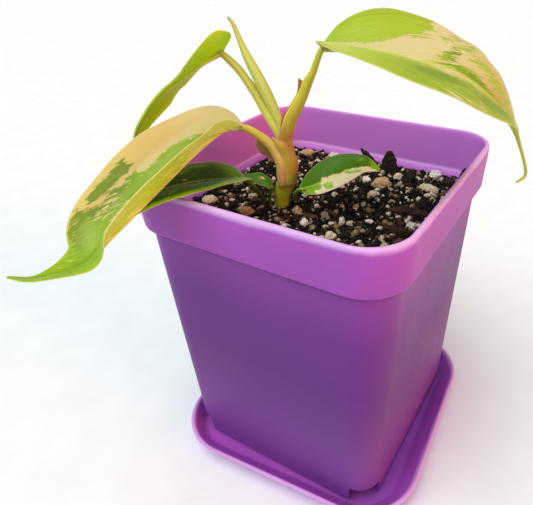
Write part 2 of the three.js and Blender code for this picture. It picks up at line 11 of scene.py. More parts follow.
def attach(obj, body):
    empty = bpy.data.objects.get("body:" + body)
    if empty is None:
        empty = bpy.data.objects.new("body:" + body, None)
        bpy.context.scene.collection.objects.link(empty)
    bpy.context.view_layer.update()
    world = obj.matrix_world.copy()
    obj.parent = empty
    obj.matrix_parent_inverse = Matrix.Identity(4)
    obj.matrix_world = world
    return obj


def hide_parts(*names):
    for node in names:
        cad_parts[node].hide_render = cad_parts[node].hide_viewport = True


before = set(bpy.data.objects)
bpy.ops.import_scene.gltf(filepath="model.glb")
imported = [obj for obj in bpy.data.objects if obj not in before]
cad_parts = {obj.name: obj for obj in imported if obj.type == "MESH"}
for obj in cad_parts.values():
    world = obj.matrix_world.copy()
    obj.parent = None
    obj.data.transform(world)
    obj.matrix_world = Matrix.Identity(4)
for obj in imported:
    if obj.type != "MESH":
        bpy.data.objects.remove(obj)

bl_info = {
    "name": "Potted philodendron",
    "version": (1, 0, 0),
    "blender": (4, 5, 0),
    "location": "3D View > Sidebar > Plant",
    "description": "Makes a young variegated plant, its pot, saucer and potting mix, and a soft studio",
    "category": "Add Mesh",
}

MM = 0.001


def linear(code):
    """An sRGB hex colour as linear RGBA."""
    parts = [int(code[i:i + 2], 16) / 255 for i in (1, 3, 5)]
    return tuple([c / 12.92 if c <= 0.04045 else ((c + 0.055) / 1.055) ** 2.4 for c in parts] + [1.0])


def add_node(tree, kind, inputs=None, **settings):
    """Adds a node. inputs maps a socket's name or number to a value or to the output that feeds it."""
    made = tree.nodes.new(kind)
    for key, value in settings.items():
        setattr(made, key, value)
    for key, value in (inputs or {}).items():
        if isinstance(value, bpy.types.NodeSocket):
            tree.links.new(value, made.inputs[key])
        else:
            made.inputs[key].default_value = value
    return made


class Finish:
    """A material in the making: one Principled shader, and short calls for the nodes that feed it."""

    def __init__(self, name, **surface):
        """The surface's constants are set on the shader's own sockets."""
        self.material = bpy.data.materials.new(name)
        self.material.use_nodes = True
        self.tree = self.material.node_tree
        self.shader = self.tree.nodes["Principled BSDF"]
        for socket, value in surface.items():
            self.shader.inputs[socket.replace("_", " ")].default_value = value

    def add(self, kind, inputs=None, **settings):
        return add_node(self.tree, kind, inputs, **settings)

    def feed(self, socket, output):
        """Links an output to one of the shader's sockets."""
        self.tree.links.new(output, self.shader.inputs[socket])

    def place(self):
        """The point in the piece's own metres."""
        return self.add("ShaderNodeTexCoord").outputs["Object"]

    def uv(self, name):
        return self.add("ShaderNodeUVMap", uv_map=name).outputs[0]

    def field(self, name):
        """A value kept on the mesh."""
        return self.add("ShaderNodeAttribute", attribute_name=name).outputs["Fac"]

    def axis(self, vector, letter):
        return self.add("ShaderNodeSeparateXYZ", {0: vector}).outputs[letter]

    def noise(self, where, scale, detail, roughness=0.5, **more):
        return self.add("ShaderNodeTexNoise", {"Vector": where, "Scale": scale, "Detail": detail,
                                               "Roughness": roughness, **more}).outputs[0]

    def stretched_noise(self, where, stretch, detail, roughness=0.5):
        """A noise with its own scale along u and across it."""
        drawn = self.add("ShaderNodeMapping", {"Vector": where, "Scale": (*stretch, 1.0)})
        return self.noise(drawn.outputs[0], 1.0, detail, roughness)

    def math(self, operation, *values):
        return self.add("ShaderNodeMath", dict(enumerate(values)), operation=operation).outputs[0]

    def remap(self, value, low, high, to_low=0.0, to_high=1.0, **settings):
        """The value's range from low to high, drawn to another range and kept inside it."""
        return self.add("ShaderNodeMapRange", {"Value": value, "From Min": low, "From Max": high,
                                               "To Min": to_low, "To Max": to_high}, **settings).outputs[0]

    def mix(self, share, *pair):
        """Two colours, each an output, a hex code or RGBA, mixed by a share."""
        first, second = (linear(colour) if isinstance(colour, str) else colour for colour in pair)
        return self.add("ShaderNodeMix", {0: share, 6: first, 7: second}, data_type="RGBA").outputs[2]

    def ramp(self, value, stops):
        """A colour ramp whose stops are pairs of place and hex code."""
        made = self.add("ShaderNodeValToRGB", {"Fac": value})
        elements = made.color_ramp.elements
        elements.remove(elements[-1])
        for number, (place, code) in enumerate(stops):
            stop = elements.new(place) if number else elements[0]
            stop.position = place
            stop.color = linear(code)
        return made.outputs[0]

    def relief(self, *layers):
        """Stacks bumps, each of a height, a strength and a distance in metres, on the normal."""
        under = {}
        for height, strength, distance in layers:
            bump = self.add("ShaderNodeBump", {"Height": height, "Strength": strength, "Distance": distance,
                                               **under})
            under = {"Normal": bump.outputs[0]}
        self.feed("Normal", bump.outputs[0])


# Curves through stations.

def between(rows, t):
    """Catmull-Rom values of the rows at t, which runs from 0 to 1."""
    rows = np.asarray(rows, float)
    last = len(rows) - 1
    place = np.clip(np.asarray(t, float), 0, 1) * last
    i = np.minimum(place.astype(int), last - 1)
    f = (place - i)[..., None]
    p1, p2 = rows[i], rows[i + 1]
    p0 = np.where((i > 0)[..., None], rows[np.maximum(i - 1, 0)], 2 * p1 - p2)
    p3 = np.where((i + 2 <= last)[..., None], rows[np.minimum(i + 2, last)], 2 * p2 - p1)
    cubic = 3 * p1 - p0 - 3 * p2 + p3
    return 0.5 * (2 * p1 + (p2 - p0) * f + (2 * p0 - 5 * p1 + 4 * p2 - p3) * f ** 2 + cubic * f ** 3)


def unit(v):
    """The vectors at length 1."""
    return v / np.maximum(np.linalg.norm(v, axis=-1, keepdims=True), 1e-12)


def step_up(low, high, x):
    """A smooth step from 0 at low to 1 at high."""
    s = np.clip((x - low) / (high - low), 0, 1)
    return s * s * (3 - 2 * s)


# Objects and meshes. All meshes are built in millimetres, in the frame of the solids.

def new_object(name, data):
    """An object linked to the scene."""
    obj = bpy.data.objects.new(name, data)
    bpy.context.scene.collection.objects.link(obj)
    return obj


def applied(obj):
    """A plain mesh of the object with its modifiers applied."""
    return bpy.data.meshes.new_from_object(obj.evaluated_get(bpy.context.evaluated_depsgraph_get()))


class Shape:
    """Gathers points, faces, UVs and named values, and makes one mesh object of them."""

    def __init__(self):
        self.points, self.faces, self.slots, self.values, self.count = [], [], [], {}, 0

    def add(self, points, faces, slot=0, **values):
        """Adds a part. A value that it lacks is 0 on it."""
        points = np.asarray(points, float).reshape(-1, 3)
        for name in {**self.values, **values}:
            kept = self.values.setdefault(name, [np.zeros((self.count, 1))] if self.count else [])
            value = np.asarray(values.get(name, np.zeros(len(points))), float)
            kept.append(value.reshape(len(points), -1))
        self.points.append(points)
        self.faces += [[i + self.count for i in face] for face in faces]
        self.slots += [slot] * len(faces)
        self.count += len(points)

    def make(self, name, materials, sharp=40):
        """Makes the object. Edges that turn by more than sharp degrees stay crisp."""
        mesh = bpy.data.meshes.new(name)
        mesh.from_pydata((np.concatenate(self.points) * MM).tolist(), [], self.faces)
        corner = np.zeros(len(mesh.loops), int)
        mesh.loops.foreach_get("vertex_index", corner)
        for key, parts in self.values.items():
            wide = max(part.shape[1] for part in parts)
            rows = np.concatenate([np.pad(part, ((0, 0), (0, wide - part.shape[1]))) for part in parts])
            if wide == 2:
                layer = mesh.uv_layers.new(name=key)
                layer.data.foreach_set("uv", rows[corner].ravel())
            else:
                layer = mesh.attributes.new(key, "FLOAT", "POINT")
                layer.data.foreach_set("value", rows[:, 0].copy())
        for material in materials:
            mesh.materials.append(material)
        mesh.polygons.foreach_set("material_index", self.slots)
        mesh.shade_smooth()
        mesh.set_sharp_from_angle(angle=math.radians(sharp))
        return new_object(name, mesh)


def grid_faces(rows, columns, wrap=False, flip=False):
    """The faces of a grid of points, which may close on itself across its columns."""
    faces = []
    for i in range(rows - 1):
        for j in range(columns if wrap else columns - 1):
            k = (j + 1) % columns
            face = [i * columns + j, (i + 1) * columns + j, (i + 1) * columns + k, i * columns + k]
            faces.append(face[::-1] if flip else face)
    return faces


def border(rows, columns):
    """The places (row, column) round a grid's edge, down its first column first."""
    return ([(i, 0) for i in range(rows)] + [(rows - 1, j) for j in range(1, columns)]
            + [(i, columns - 1) for i in range(rows - 2, -1, -1)]
            + [(0, j) for j in range(columns - 2, 0, -1)])


def bridge(near, far):
    """Faces between two closed rings of point numbers."""
    return [list(face) for face in zip(near, far, far[1:] + far[:1], near[1:] + near[:1])]


def capped(rows, columns):
    """Faces round a stack of rings, closed at both ends by fans to two last points."""
    faces = grid_faces(rows, columns, wrap=True, flip=True)
    first, base = rows * columns, (rows - 1) * columns
    for j in range(columns):
        k = (j + 1) % columns
        faces += [[first, k, j], [first + 1, base + j, base + k]]
    return faces


def loft(rings):
    """Skins rings of equal length and closes both ends."""
    points = np.concatenate(rings + [rings[0].mean(0)[None], rings[-1].mean(0)[None]])
    return points, capped(len(rings), len(rings[0]))


def tube(route, sides=28, steps=8, profile=None, nose=0.6):
    """Points, faces, run and turn (both 0 to 1) of a closed round stalk along [x, y, z, radius] rows. Its end
    stands out by nose times its radius."""
    route = np.asarray(route, float)
    count = (len(route) - 1) * steps + 1
    t = np.linspace(0, 1, count)
    row = between(route, t)
    along = unit(np.gradient(row[:, :3], axis=0))
    across = np.zeros_like(along)
    side = np.array([1.0, 0.0, 0.0])
    for i, direction in enumerate(along):
        side = unit(side - direction * (side @ direction))
        across[i] = side
    up = np.cross(along, across)
    angle = np.linspace(0, 2 * math.pi, sides, endpoint=False)
    radius = row[:, 3:4] * (profile(t[:, None], angle[None, :]) if profile else 1.0)
    points = (row[:, None, :3] + across[:, None] * (radius * np.cos(angle))[..., None]
              + up[:, None] * (radius * np.sin(angle))[..., None])
    tip = row[-1:, :3] + along[-1] * row[-1, 3] * nose
    points = np.concatenate([points.reshape(-1, 3), row[:1, :3], tip])
    run = np.concatenate([np.repeat(t, sides), [0, 1]])
    turn = np.concatenate([np.tile(angle / (2 * math.pi), count), [0, 0]])
    return points, capped(count, sides), run, turn


def square_ring(half, radius, z, corner=16, side=0):
    """A level ring of points round a square with rounded corners."""
    arcs = []
    for number in range(4):
        diagonal = (number - 0.5) * math.pi / 2
        angle = diagonal + (np.arange(corner + 1) / corner - 0.5) * math.pi / 2
        centre = math.sqrt(2) * (half - radius) * np.array([math.cos(diagonal), math.sin(diagonal)])
        arcs.append(centre + radius * np.stack([np.cos(angle), np.sin(angle)], -1))
    share = np.arange(1, side + 1)[:, None] / (side + 1)
    rows = []
    for arc, following in zip(arcs, arcs[1:] + arcs[:1]):
        rows += [arc, arc[-1] + (following[0] - arc[-1]) * share]
    ring = np.concatenate(rows)
    return np.column_stack([ring, np.full(len(ring), z)])


def turned(angle):
    """A matrix that turns rows of points about the vertical."""
    c, s = math.cos(angle), math.sin(angle)
    return np.array([[c, s, 0], [-s, c, 0], [0, 0, 1]])


def rounded(profile, reach, steps=4):
    """The profile's rows with each inner corner eased over up to reach millimetres on both sides."""
    rows = np.asarray(profile, float)
    out = [rows[0]]
    for before, here, after in zip(rows, rows[1:], rows[2:]):
        arms = []
        for other in (before, after):
            length = math.hypot(other[0] - here[0], other[2] - here[2])
            arms.append(here + (other - here) * min(reach / max(length, 1e-6), 0.45))
        for i in range(steps + 1):
            s = i / steps
            out.append(arms[0] * (1 - s) ** 2 + here * 2 * s * (1 - s) + arms[1] * s * s)
    out.append(rows[-1])
    return out


def finish_piece(obj, slot, *nodes):
    """The piece moves with the object and stands for the nodes, which it hides. slot is not used."""
    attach(obj, "root")
    if nodes:
        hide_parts(*nodes)
    return obj


# Sizes and colours that a user would change.

class PotSettings(bpy.types.PropertyGroup):
    roughness: FloatProperty(name="Roughness", description="How matt the pot's surface is", default=0.42,
                             min=0, max=1)
    # the colour of a painted glow on the inner wall, standing for light that comes through the plastic
    painted_glow: FloatVectorProperty(name="Lit wall", description="Colour of the bare wall that light comes through",
                             default=linear("#D489E6")[:3], subtype="COLOR", size=3)


class MixSettings(bpy.types.PropertyGroup):
    crumbs: FloatProperty(name="Crumbs", description="Dark crumbs on each square metre of the mix",
                          default=0.95e6, min=0)
    grit: FloatProperty(name="Grit", description="Pale perlite and pumice grains on each square metre",
                        default=0.13e6, min=0)
    flakes: FloatProperty(name="Flakes", description="Bark flakes on each square metre", default=0.08e6,
                          min=0)
    seed: IntProperty(name="Seed", description="Which random laying is used", default=7)


class LeafSettings(bpy.types.PropertyGroup):
    blade: FloatProperty(name="Blade", description="Thickness of a blade beside its midrib",
                         default=0.0005, unit="LENGTH")
    vein_spacing: FloatProperty(name="Vein spacing", description="Distance between side veins",
                                default=0.0024, unit="LENGTH")


class StudioSettings(bpy.types.PropertyGroup):
    key: FloatProperty(name="Key", description="Strength of the broad light from above", default=2.1, min=0)
    side: FloatProperty(name="Side", description="Strength of the warm light on the right", default=2.0,
                        min=0)
    fill: FloatProperty(name="Fill", description="Strength of the cool light on the front", default=0.45,
                        min=0)
    sky: FloatProperty(name="Sky", description="Brightness of the surroundings", default=0.42, min=0)


# Moulded plastic.

# The pot's section from the middle of its underside, round the rim, to the middle of its floor:
# half width, corner radius and height.
POT_SECTION = [
    (40.6, 7.6, 11.0), (40.2, 7.3, 2.0), (41.5, 8.6, 2.0), (42.0, 9.0, 2.8), (46.75, 12.5, 104.7),
    (46.95, 12.8, 105.45), (48.4, 14.3, 105.95), (49.1, 14.9, 106.35), (49.3, 15.0, 107.1),
    (50.0, 15.0, 122.0), (49.7, 14.8, 122.8),
    (49.1, 14.2, 123.0), (48.4, 13.4, 122.9), (48.2, 13.2, 122.2), (47.5, 13.2, 106.7), (47.1, 12.8, 106.0),
    (45.4, 11.0, 104.5), (44.9, 10.6, 103.4), (41.4, 8.6, 13.8), (40.2, 7.6, 12.6),
]
# Width and height of the notch in each bottom corner, and how far out it is centred.
NOTCH_WIDE, NOTCH_TALL, NOTCH_OUT = 12.0, 8.8, 54.6
# The drain holes: how far from each centre line, and their radius.
DRAIN_OUT, DRAIN_RADIUS = 30, 3
# The faces of a box whose eight corners are listed with z changing fastest.
BOX_FACES = [[0, 1, 3, 2], [4, 6, 7, 5], [0, 4, 5, 1], [2, 3, 7, 6], [0, 2, 6, 4], [1, 5, 7, 3]]
# The saucer's section, with a fourth value: how far the row is centred on the pot (1) or on the rim (0).
SAUCER_SECTION = [
    (43.0, 14.6, 0.0, 1.0), (44.6, 15.2, 0.15, 1.0), (45.7, 15.8, 1.1, 0.95), (50.5, 22.0, 7.4, 0.05),
    (51.1, 22.8, 7.7, 0.0), (51.4, 23.1, 8.3, 0.0), (51.2, 22.9, 8.9, 0.0), (50.6, 22.5, 9.2, 0.0),
    (50.0, 22.2, 8.9, 0.0), (49.6, 21.8, 8.1, 0.05), (45.8, 16.2, 2.9, 0.88), (44.8, 15.3, 1.7, 1.0),
    (43.4, 14.6, 1.2, 1.0),
]
# How far the saucer is turned against the pot, and how far its rim's centre lies from the pot's.
SAUCER_TURN = math.radians(4)
SAUCER_OFFSET = (1.5, -0.9)

# Colours from the foot (0) to the rim (1), and the heights in metres that they are spread over. The pot's
# wall is painted darker where mix backs it, as shade through the clear plastic, and lighter above that. The
# dark stop just under the rim band is a painted shadow line, and the pale last stops are a painted highlight
# along the rim's top edge.
POT_STOPS_WITH_PAINTED_LIGHT = [
    (0.0, "#8A4AAE"), (0.08, "#7E4698"), (0.2, "#76428E"), (0.35, "#6C3584"), (0.5, "#652D7F"),
    (0.70, "#6E3389"), (0.80, "#803E98"), (0.840, "#86419B"), (0.856, "#70328A"), (0.868, "#9C4EB0"),
    (0.93, "#9E50B2"), (0.984, "#A452B8"), (0.994, "#C898DE"), (1.0, "#D4B0E6")]
POT_LOW, POT_HIGH = 0.002, 0.1236
# The saucer's pale last stop is a painted highlight along its rolled rim.
SAUCER_STOPS_WITH_PAINTED_LIGHT = [(0.0, "#A25ABE"), (0.3, "#AE5AC6"), (0.86, "#AE58C6"), (0.97, "#B260CA"), (1.0, "#CE98DF")]
SAUCER_LOW, SAUCER_HIGH = 0.0, 0.0092


def moulded_polypropylene(name, stops, low, high, roughness, painted_glow=None):
    """Injection-moulded polypropylene, tinted purple and slightly clear. It gives broad soft highlights and a
    faint mottle. Its colour holds painted light: painted shade where mix backs the wall, the painted shadow
    line and highlight that its stops hold, and a painted glow where light comes through it."""
    finish = Finish(name, IOR=1.49, Subsurface_Weight=0.08, Subsurface_Scale=0.003,
                    Subsurface_Radius=(1.0, 0.4, 0.9), Specular_IOR_Level=0.14)
    place = finish.place()
    height = finish.axis(place, "Z")
    # the line where the painted shade of the mix behind the wall ends wanders by about 1 mm
    level = finish.math("MULTIPLY_ADD", finish.noise(place, 90.0, 3.0), 0.0022, height)
    tone = finish.ramp(finish.remap(level, low, high), stops)
    mottle = finish.noise(place, 38.0, 5.0, 0.6)
    shade = finish.remap(mottle, 0.3, 0.7, 0.93, 1.05)
    colour = finish.add("ShaderNodeVectorMath", {0: tone, "Scale": shade}, operation="SCALE").outputs[0]
    # a painted glow on the bare inner wall, for light that comes through the plastic
    if painted_glow:
        colour = paint_wall_glow(finish, place, height, colour, painted_glow)
    # specks of mix that stick to the wall, about 0.6 mm wide and 30 mm apart
    specks = finish.add("ShaderNodeTexVoronoi", {"Vector": place, "Scale": 34.0}).outputs["Distance"]
    finish.feed("Base Color", finish.mix(finish.remap(specks, 0.010, 0.022, 0.75, 0.0), colour, "#3A1F33"))
    finish.feed("Roughness", finish.remap(mottle, 0.3, 0.7, roughness - 0.05, roughness + 0.07))
    # mould skin: ripples about 1.5 mm apart, over a long soft waviness of the wall
    finish.relief((finish.noise(place, 26.0, 1.0), 0.25, 0.0008),
                  (finish.noise(place, 650.0, 2.0), 0.12, 0.00008))
    return finish.material


def paint_wall_glow(finish, place, height, colour, painted_glow):
    """Paints a glow on the inner side of the bare wall, standing for the light that comes through it. Its
    normal faces the middle.
    """
    normal = finish.add("ShaderNodeNewGeometry").outputs["True Normal"]
    level = finish.add("ShaderNodeVectorMath", {0: place, 1: (1.0, 1.0, 0.0)}, operation="MULTIPLY")
    outward = finish.add("ShaderNodeVectorMath", {0: normal, 1: level.outputs[0]}, operation="DOT_PRODUCT")
    inner = finish.remap(outward.outputs["Value"], 0.0, -0.015, 0.0, 0.85)
    above = finish.remap(height, 0.1015, 0.1072, 0.35, 1.0)
    painted_glow_colour = finish.mix(finish.math("MULTIPLY", inner, above), colour, painted_glow)
    # a painted highlight: a thin pale line on the inner ledge's rounded upper edge, where it would catch the
    # light
    line = finish.math("MULTIPLY", finish.remap(height, 0.1057, 0.1063, 0.0, 0.5),
                       finish.remap(height, 0.1067, 0.1074, 1.0, 0.0))
    return finish.mix(finish.math("MULTIPLY", line, inner), painted_glow_colour, "#EBCBF5")


class PLANT_OT_pot(bpy.types.Operator):
    """Make the square pot with its rim band, foot notches and drain holes"""
    bl_idname = "plant.pot"
    bl_label = "Pot"

    def execute(self, context):
        settings = context.scene.plant_pot
        shape = Shape()
        shape.add(*loft([square_ring(*row, corner=18, side=6) for row in rounded(POT_SECTION, 0.5)]))
        plastic = moulded_polypropylene("moulded purple polypropylene", POT_STOPS_WITH_PAINTED_LIGHT, POT_LOW, POT_HIGH,
                                        settings.roughness, (*settings.painted_glow, 1.0))
        pot = shape.make("square_pot", [plastic])
        cutters = []
        for number in range(4):
            angle = math.pi / 4 + number * math.pi / 2
            out = np.array([math.cos(angle), math.sin(angle), 0])
            corners = np.array([(x, y, z) for x in (-13, 13) for y in (-NOTCH_WIDE / 2, NOTCH_WIDE / 2)
                                for z in (-3, NOTCH_TALL + 2)])
            notch = Shape()
            notch.add(corners @ turned(angle) + out * NOTCH_OUT, BOX_FACES)
            x, y = out[:2] * DRAIN_OUT * math.sqrt(2)
            hole = Shape()
            hole.add(*tube([(x, y, 8, DRAIN_RADIUS), (x, y, 16, DRAIN_RADIUS)], 32, 1, nose=0)[:2])
            cutters += [notch.make(f"notch_{number}", []), hole.make(f"drain_{number}", [])]
        for cutter in cutters:
            modifier = pot.modifiers.new("cut", "BOOLEAN")
            modifier.operation = "DIFFERENCE"
            modifier.solver = "EXACT"
            modifier.object = cutter
        plain = applied(pot)
        pot.modifiers.clear()
        pot.data = plain
        for cutter in cutters:
            bpy.data.objects.remove(cutter)
        plain.shade_smooth()
        plain.set_sharp_from_angle(angle=math.radians(40))
        finish_piece(pot, "pot_plastic", "pot")
        return {"FINISHED"}


class PLANT_OT_saucer(bpy.types.Operator):
    """Make the square saucer with its rolled rim"""
    bl_idname = "plant.saucer"
    bl_label = "Saucer"

    def execute(self, context):
        offset = np.array([*SAUCER_OFFSET, 0])
        shape = Shape()
        shape.add(*loft([square_ring(*row, corner=26, side=6) @ turned(SAUCER_TURN) + offset * (1 - share)
                         for *row, share in rounded(SAUCER_SECTION, 0.6)]))
        plastic = moulded_polypropylene("moulded purple polypropylene, saucer", SAUCER_STOPS_WITH_PAINTED_LIGHT, SAUCER_LOW,
                                        SAUCER_HIGH, 0.34)
        finish_piece(shape.make("square_saucer", [plastic], sharp=45), "saucer_plastic", "saucer")
        return {"FINISHED"}


# Potting mix.

# Mean height of the mix's top, half its width there, and the height of its underside.
MIX_TOP, MIX_HALF, MIX_BOTTOM = 104.5, 44.5, 12.9
# The noise that roughens stones and bark is the same in every run.
ROUGHNESS_SEED = 5
# Light and dark colour of each kind of stone, and the numbers of its stones.
STONE_KINDS = {
    "perlite": ("#E9E4D8", "#C9C2B2", [1, 6, 7, 11, 15, 19]),
    "cream pumice": ("#DCCFAE", "#A8946C", [2, 4, 8, 9, 14, 18]),
    "tan pumice": ("#C3A77D", "#7C5F42", [3, 5, 10, 12]),
    "weathered grit": ("#A9967E", "#6C5A48", [13]),
    "yellow grit": ("#C2B36A", "#8A7A3C", [16, 17]),
}


def mix_relief(x, y):
    """Height of the mix over its mean level: shallow mounds and lumps, as on the solid."""
    mound = 0.8 * np.cos(x / 21 + 0.6) * np.cos(y / 19 - 0.3)
    lumps = np.sin(x * 0.93 + 1.7 * np.sin(y * 0.41)) * np.sin(y * 0.87 + 1.3 * np.sin(x * 0.37))
    crumbs = np.sin(x * 1.9 + y * 0.7) * np.sin(y * 2.1 - x * 0.6)
    return mound + 0.9 * (0.7 * lumps + 0.3 * crumbs)


def peat_and_bark(name, dark, middle, light, grain):
    """Composted peat and bark fines, screened and damp. It gives near-black hollows and dull brown lumps."""
    finish = Finish(name, IOR=1.4, Specular_IOR_Level=0.3)
    coarse = finish.noise(finish.place(), grain, 6.0, 0.7)
    tone = finish.math("MULTIPLY_ADD", finish.field("tone"), 0.55, coarse)
    finish.feed("Base Color", finish.ramp(tone, [(0.3, dark), (0.62, middle), (1.0, light)]))
    finish.feed("Roughness", finish.remap(coarse, 0.0, 1.0, 0.95, 0.55))
    finish.relief((coarse, 0.8, 0.0004))
    return finish.material


def expanded_perlite(name, light, dark, spread=0.0):
    """Volcanic glass popped by heat, or heavier pumice: chalky, full of pinholes, dusted with mix."""
    finish = Finish(name, IOR=1.45, Specular_IOR_Level=0.3, Roughness=0.85, Subsurface_Weight=0.1,
                    Subsurface_Scale=0.0008)
    place = finish.place()
    stain = finish.noise(place, 480.0, 5.0, 0.65)
    holes = finish.add("ShaderNodeTexVoronoi", {"Vector": place, "Scale": 1500.0}).outputs["Distance"]
    pit = finish.remap(holes, 0.1, 0.45)
    lean = finish.math("MULTIPLY_ADD", finish.field("tone"), spread, stain)
    tone = finish.ramp(lean, [(0.36, light), (0.62, light), (0.8, dark), (1.1 if spread else 1.0, dark)])
    finish.feed("Base Color", finish.mix(pit, dark, tone))
    finish.relief((finish.math("MULTIPLY_ADD", pit, 0.5, stain), 0.7, 0.0003))
    return finish.material


def charred_bark(name, dark, middle, light):
    """Composted pine bark, torn into chips. Its colour follows its grain and is lighter on the ridges, a
    painted highlight where they would catch the light.
    """
    finish = Finish(name, IOR=1.4, Roughness=0.8, Specular_IOR_Level=0.35)
    grain = finish.noise(finish.place(), 420.0, 7.0, 0.7, Distortion=0.6)
    finish.feed("Base Color", finish.ramp(grain, [(0.35, dark), (0.55, middle), (0.8, light)]))
    finish.relief((grain, 0.9, 0.0005))
    return finish.material


# The mesh of one grain of each kind, and the inputs of the tree that lays them.
GRAINS = {
    "flake": ("GeometryNodeMeshCube", {"Size": (2.0, 2.0, 2.0), "Vertices X": 3, "Vertices Y": 2,
                                       "Vertices Z": 2}),
    "crumb": ("GeometryNodeMeshIcoSphere", {"Radius": 1.0, "Subdivisions": 1}),
    "grit": ("GeometryNodeMeshUVSphere", {"Segments": 7, "Rings": 5, "Radius": 1.0}),
}
SCATTER_INPUTS = [("Geometry", "Geometry"), ("Density", "Float"), ("Smallest", "Float"), ("Largest", "Float"),
                  ("Seed", "Int")]


def scatter_tree(name, grain, material, squash, lump, sink):
    """A tree that lays grains on a surface, with named inputs for how many and how large, and ends in a plain
    mesh with its material. Returns it with the identifiers of its inputs."""
    tree = bpy.data.node_groups.new(name, "GeometryNodeTree")
    face = tree.interface
    sockets = {key: face.new_socket(name=key, in_out="INPUT", socket_type="NodeSocket" + kind).identifier
               for key, kind in SCATTER_INPUTS}
    face.new_socket(name="Geometry", in_out="OUTPUT", socket_type="NodeSocketGeometry")
    given = add_node(tree, "NodeGroupInput").outputs

    def add(kind, inputs=None, socket=0, **settings):
        """Adds a node and gives one of its outputs."""
        return add_node(tree, kind, inputs, **settings).outputs[socket]

    def vector(low, high, seed):
        """A random vector for each grain."""
        return add("FunctionNodeRandomValue", {0: low, 1: high, "Seed": seed}, data_type="FLOAT_VECTOR")

    def chance(seed):
        """A random value from 0 to 1 for each grain."""
        return add("FunctionNodeRandomValue", {2: 0.0, 3: 1.0, "Seed": seed}, 1, data_type="FLOAT")

    points = add("GeometryNodeDistributePointsOnFaces",
                 {"Mesh": given["Geometry"], "Density": given["Density"], "Seed": given["Seed"]})
    # flakes lie nearly flat, and the other grains any way round
    low, high = (-0.5, 0.5) if grain == "flake" else (0.0, 6.28)
    turn = vector((low, low, 0.0), (high, high, 6.28), 3)
    # most grains are small: the random share is raised to a power
    share = add("ShaderNodeMath", {0: chance(5), 1: 2.2}, operation="POWER")
    size = add("ShaderNodeMapRange",
               {"Value": share, "To Min": given["Smallest"], "To Max": given["Largest"]})
    scale = add("ShaderNodeVectorMath", {0: vector(*squash, 9), "Scale": size}, operation="SCALE")
    laid = add("GeometryNodeInstanceOnPoints", {"Points": points, "Instance": add(*GRAINS[grain]),
                                                "Rotation": turn, "Scale": scale})
    marked = add("GeometryNodeStoreNamedAttribute", {"Geometry": laid, "Name": "tone", "Value": chance(11)},
                 data_type="FLOAT", domain="INSTANCE")
    drop = vector((0, 0, sink[0]), (0, 0, sink[1]), 13)
    sunk = add("GeometryNodeTranslateInstances",
               {"Instances": marked, "Translation": drop, "Local Space": False})
    plain = add("GeometryNodeRealizeInstances", {"Geometry": sunk})
    # a noise makes each grain lumpy
    bumps = add("ShaderNodeTexNoise", {"Vector": add("GeometryNodeInputPosition"), "Scale": lump[0],
                                       "Detail": 1.0}, "Color")
    centred = add("ShaderNodeVectorMath", {0: bumps, 1: (0.5, 0.5, 0.5)}, operation="SUBTRACT")
    push = add("ShaderNodeVectorMath", {0: centred, "Scale": lump[1]}, operation="SCALE")
    lumpy = add("GeometryNodeSetPosition", {"Geometry": plain, "Offset": push})
    smooth = add("GeometryNodeSetShadeSmooth", {"Geometry": lumpy, "Shade Smooth": grain == "grit"})
    coated = add("GeometryNodeSetMaterial", {"Geometry": smooth, "Material": material})
    add_node(tree, "NodeGroupOutput", {"Geometry": coated})
    return tree, sockets


def mix_top(step, margin):
    """The x and y of a grid over the mix's top, inside its rounded outline."""
    half = MIX_HALF - margin
    line = np.arange(-half, half + step / 2, step)
    x, y = np.meshgrid(line, line)
    corner = 10.2 - margin * 0.5
    # points beyond a corner's arc are drawn in to it
    over_x, over_y = np.abs(x) - (half - corner), np.abs(y) - (half - corner)
    reach = np.hypot(np.maximum(over_x, 0), np.maximum(over_y, 0))
    both = (over_x > 0) & (over_y > 0) & (reach > corner)
    pull = np.where(both, corner / np.maximum(reach, 1e-6), 1.0)
    x = np.where(both, np.sign(x) * (half - corner + over_x * pull), x)
    y = np.where(both, np.sign(y) * (half - corner + over_y * pull), y)
    return x, y


def scattered(name, surface, built, values):
    """Runs a scatter tree over a copy of the surface and keeps the result as a plain mesh."""
    tree, sockets = built
    obj = new_object(name, surface.copy())
    modifier = obj.modifiers.new("scatter", "NODES")
    modifier.node_group = tree
    for key, value in values.items():
        modifier[sockets[key]] = value
    plain = applied(obj)
    obj.modifiers.clear()
    obj.data = plain
    plain.name = name
    return obj


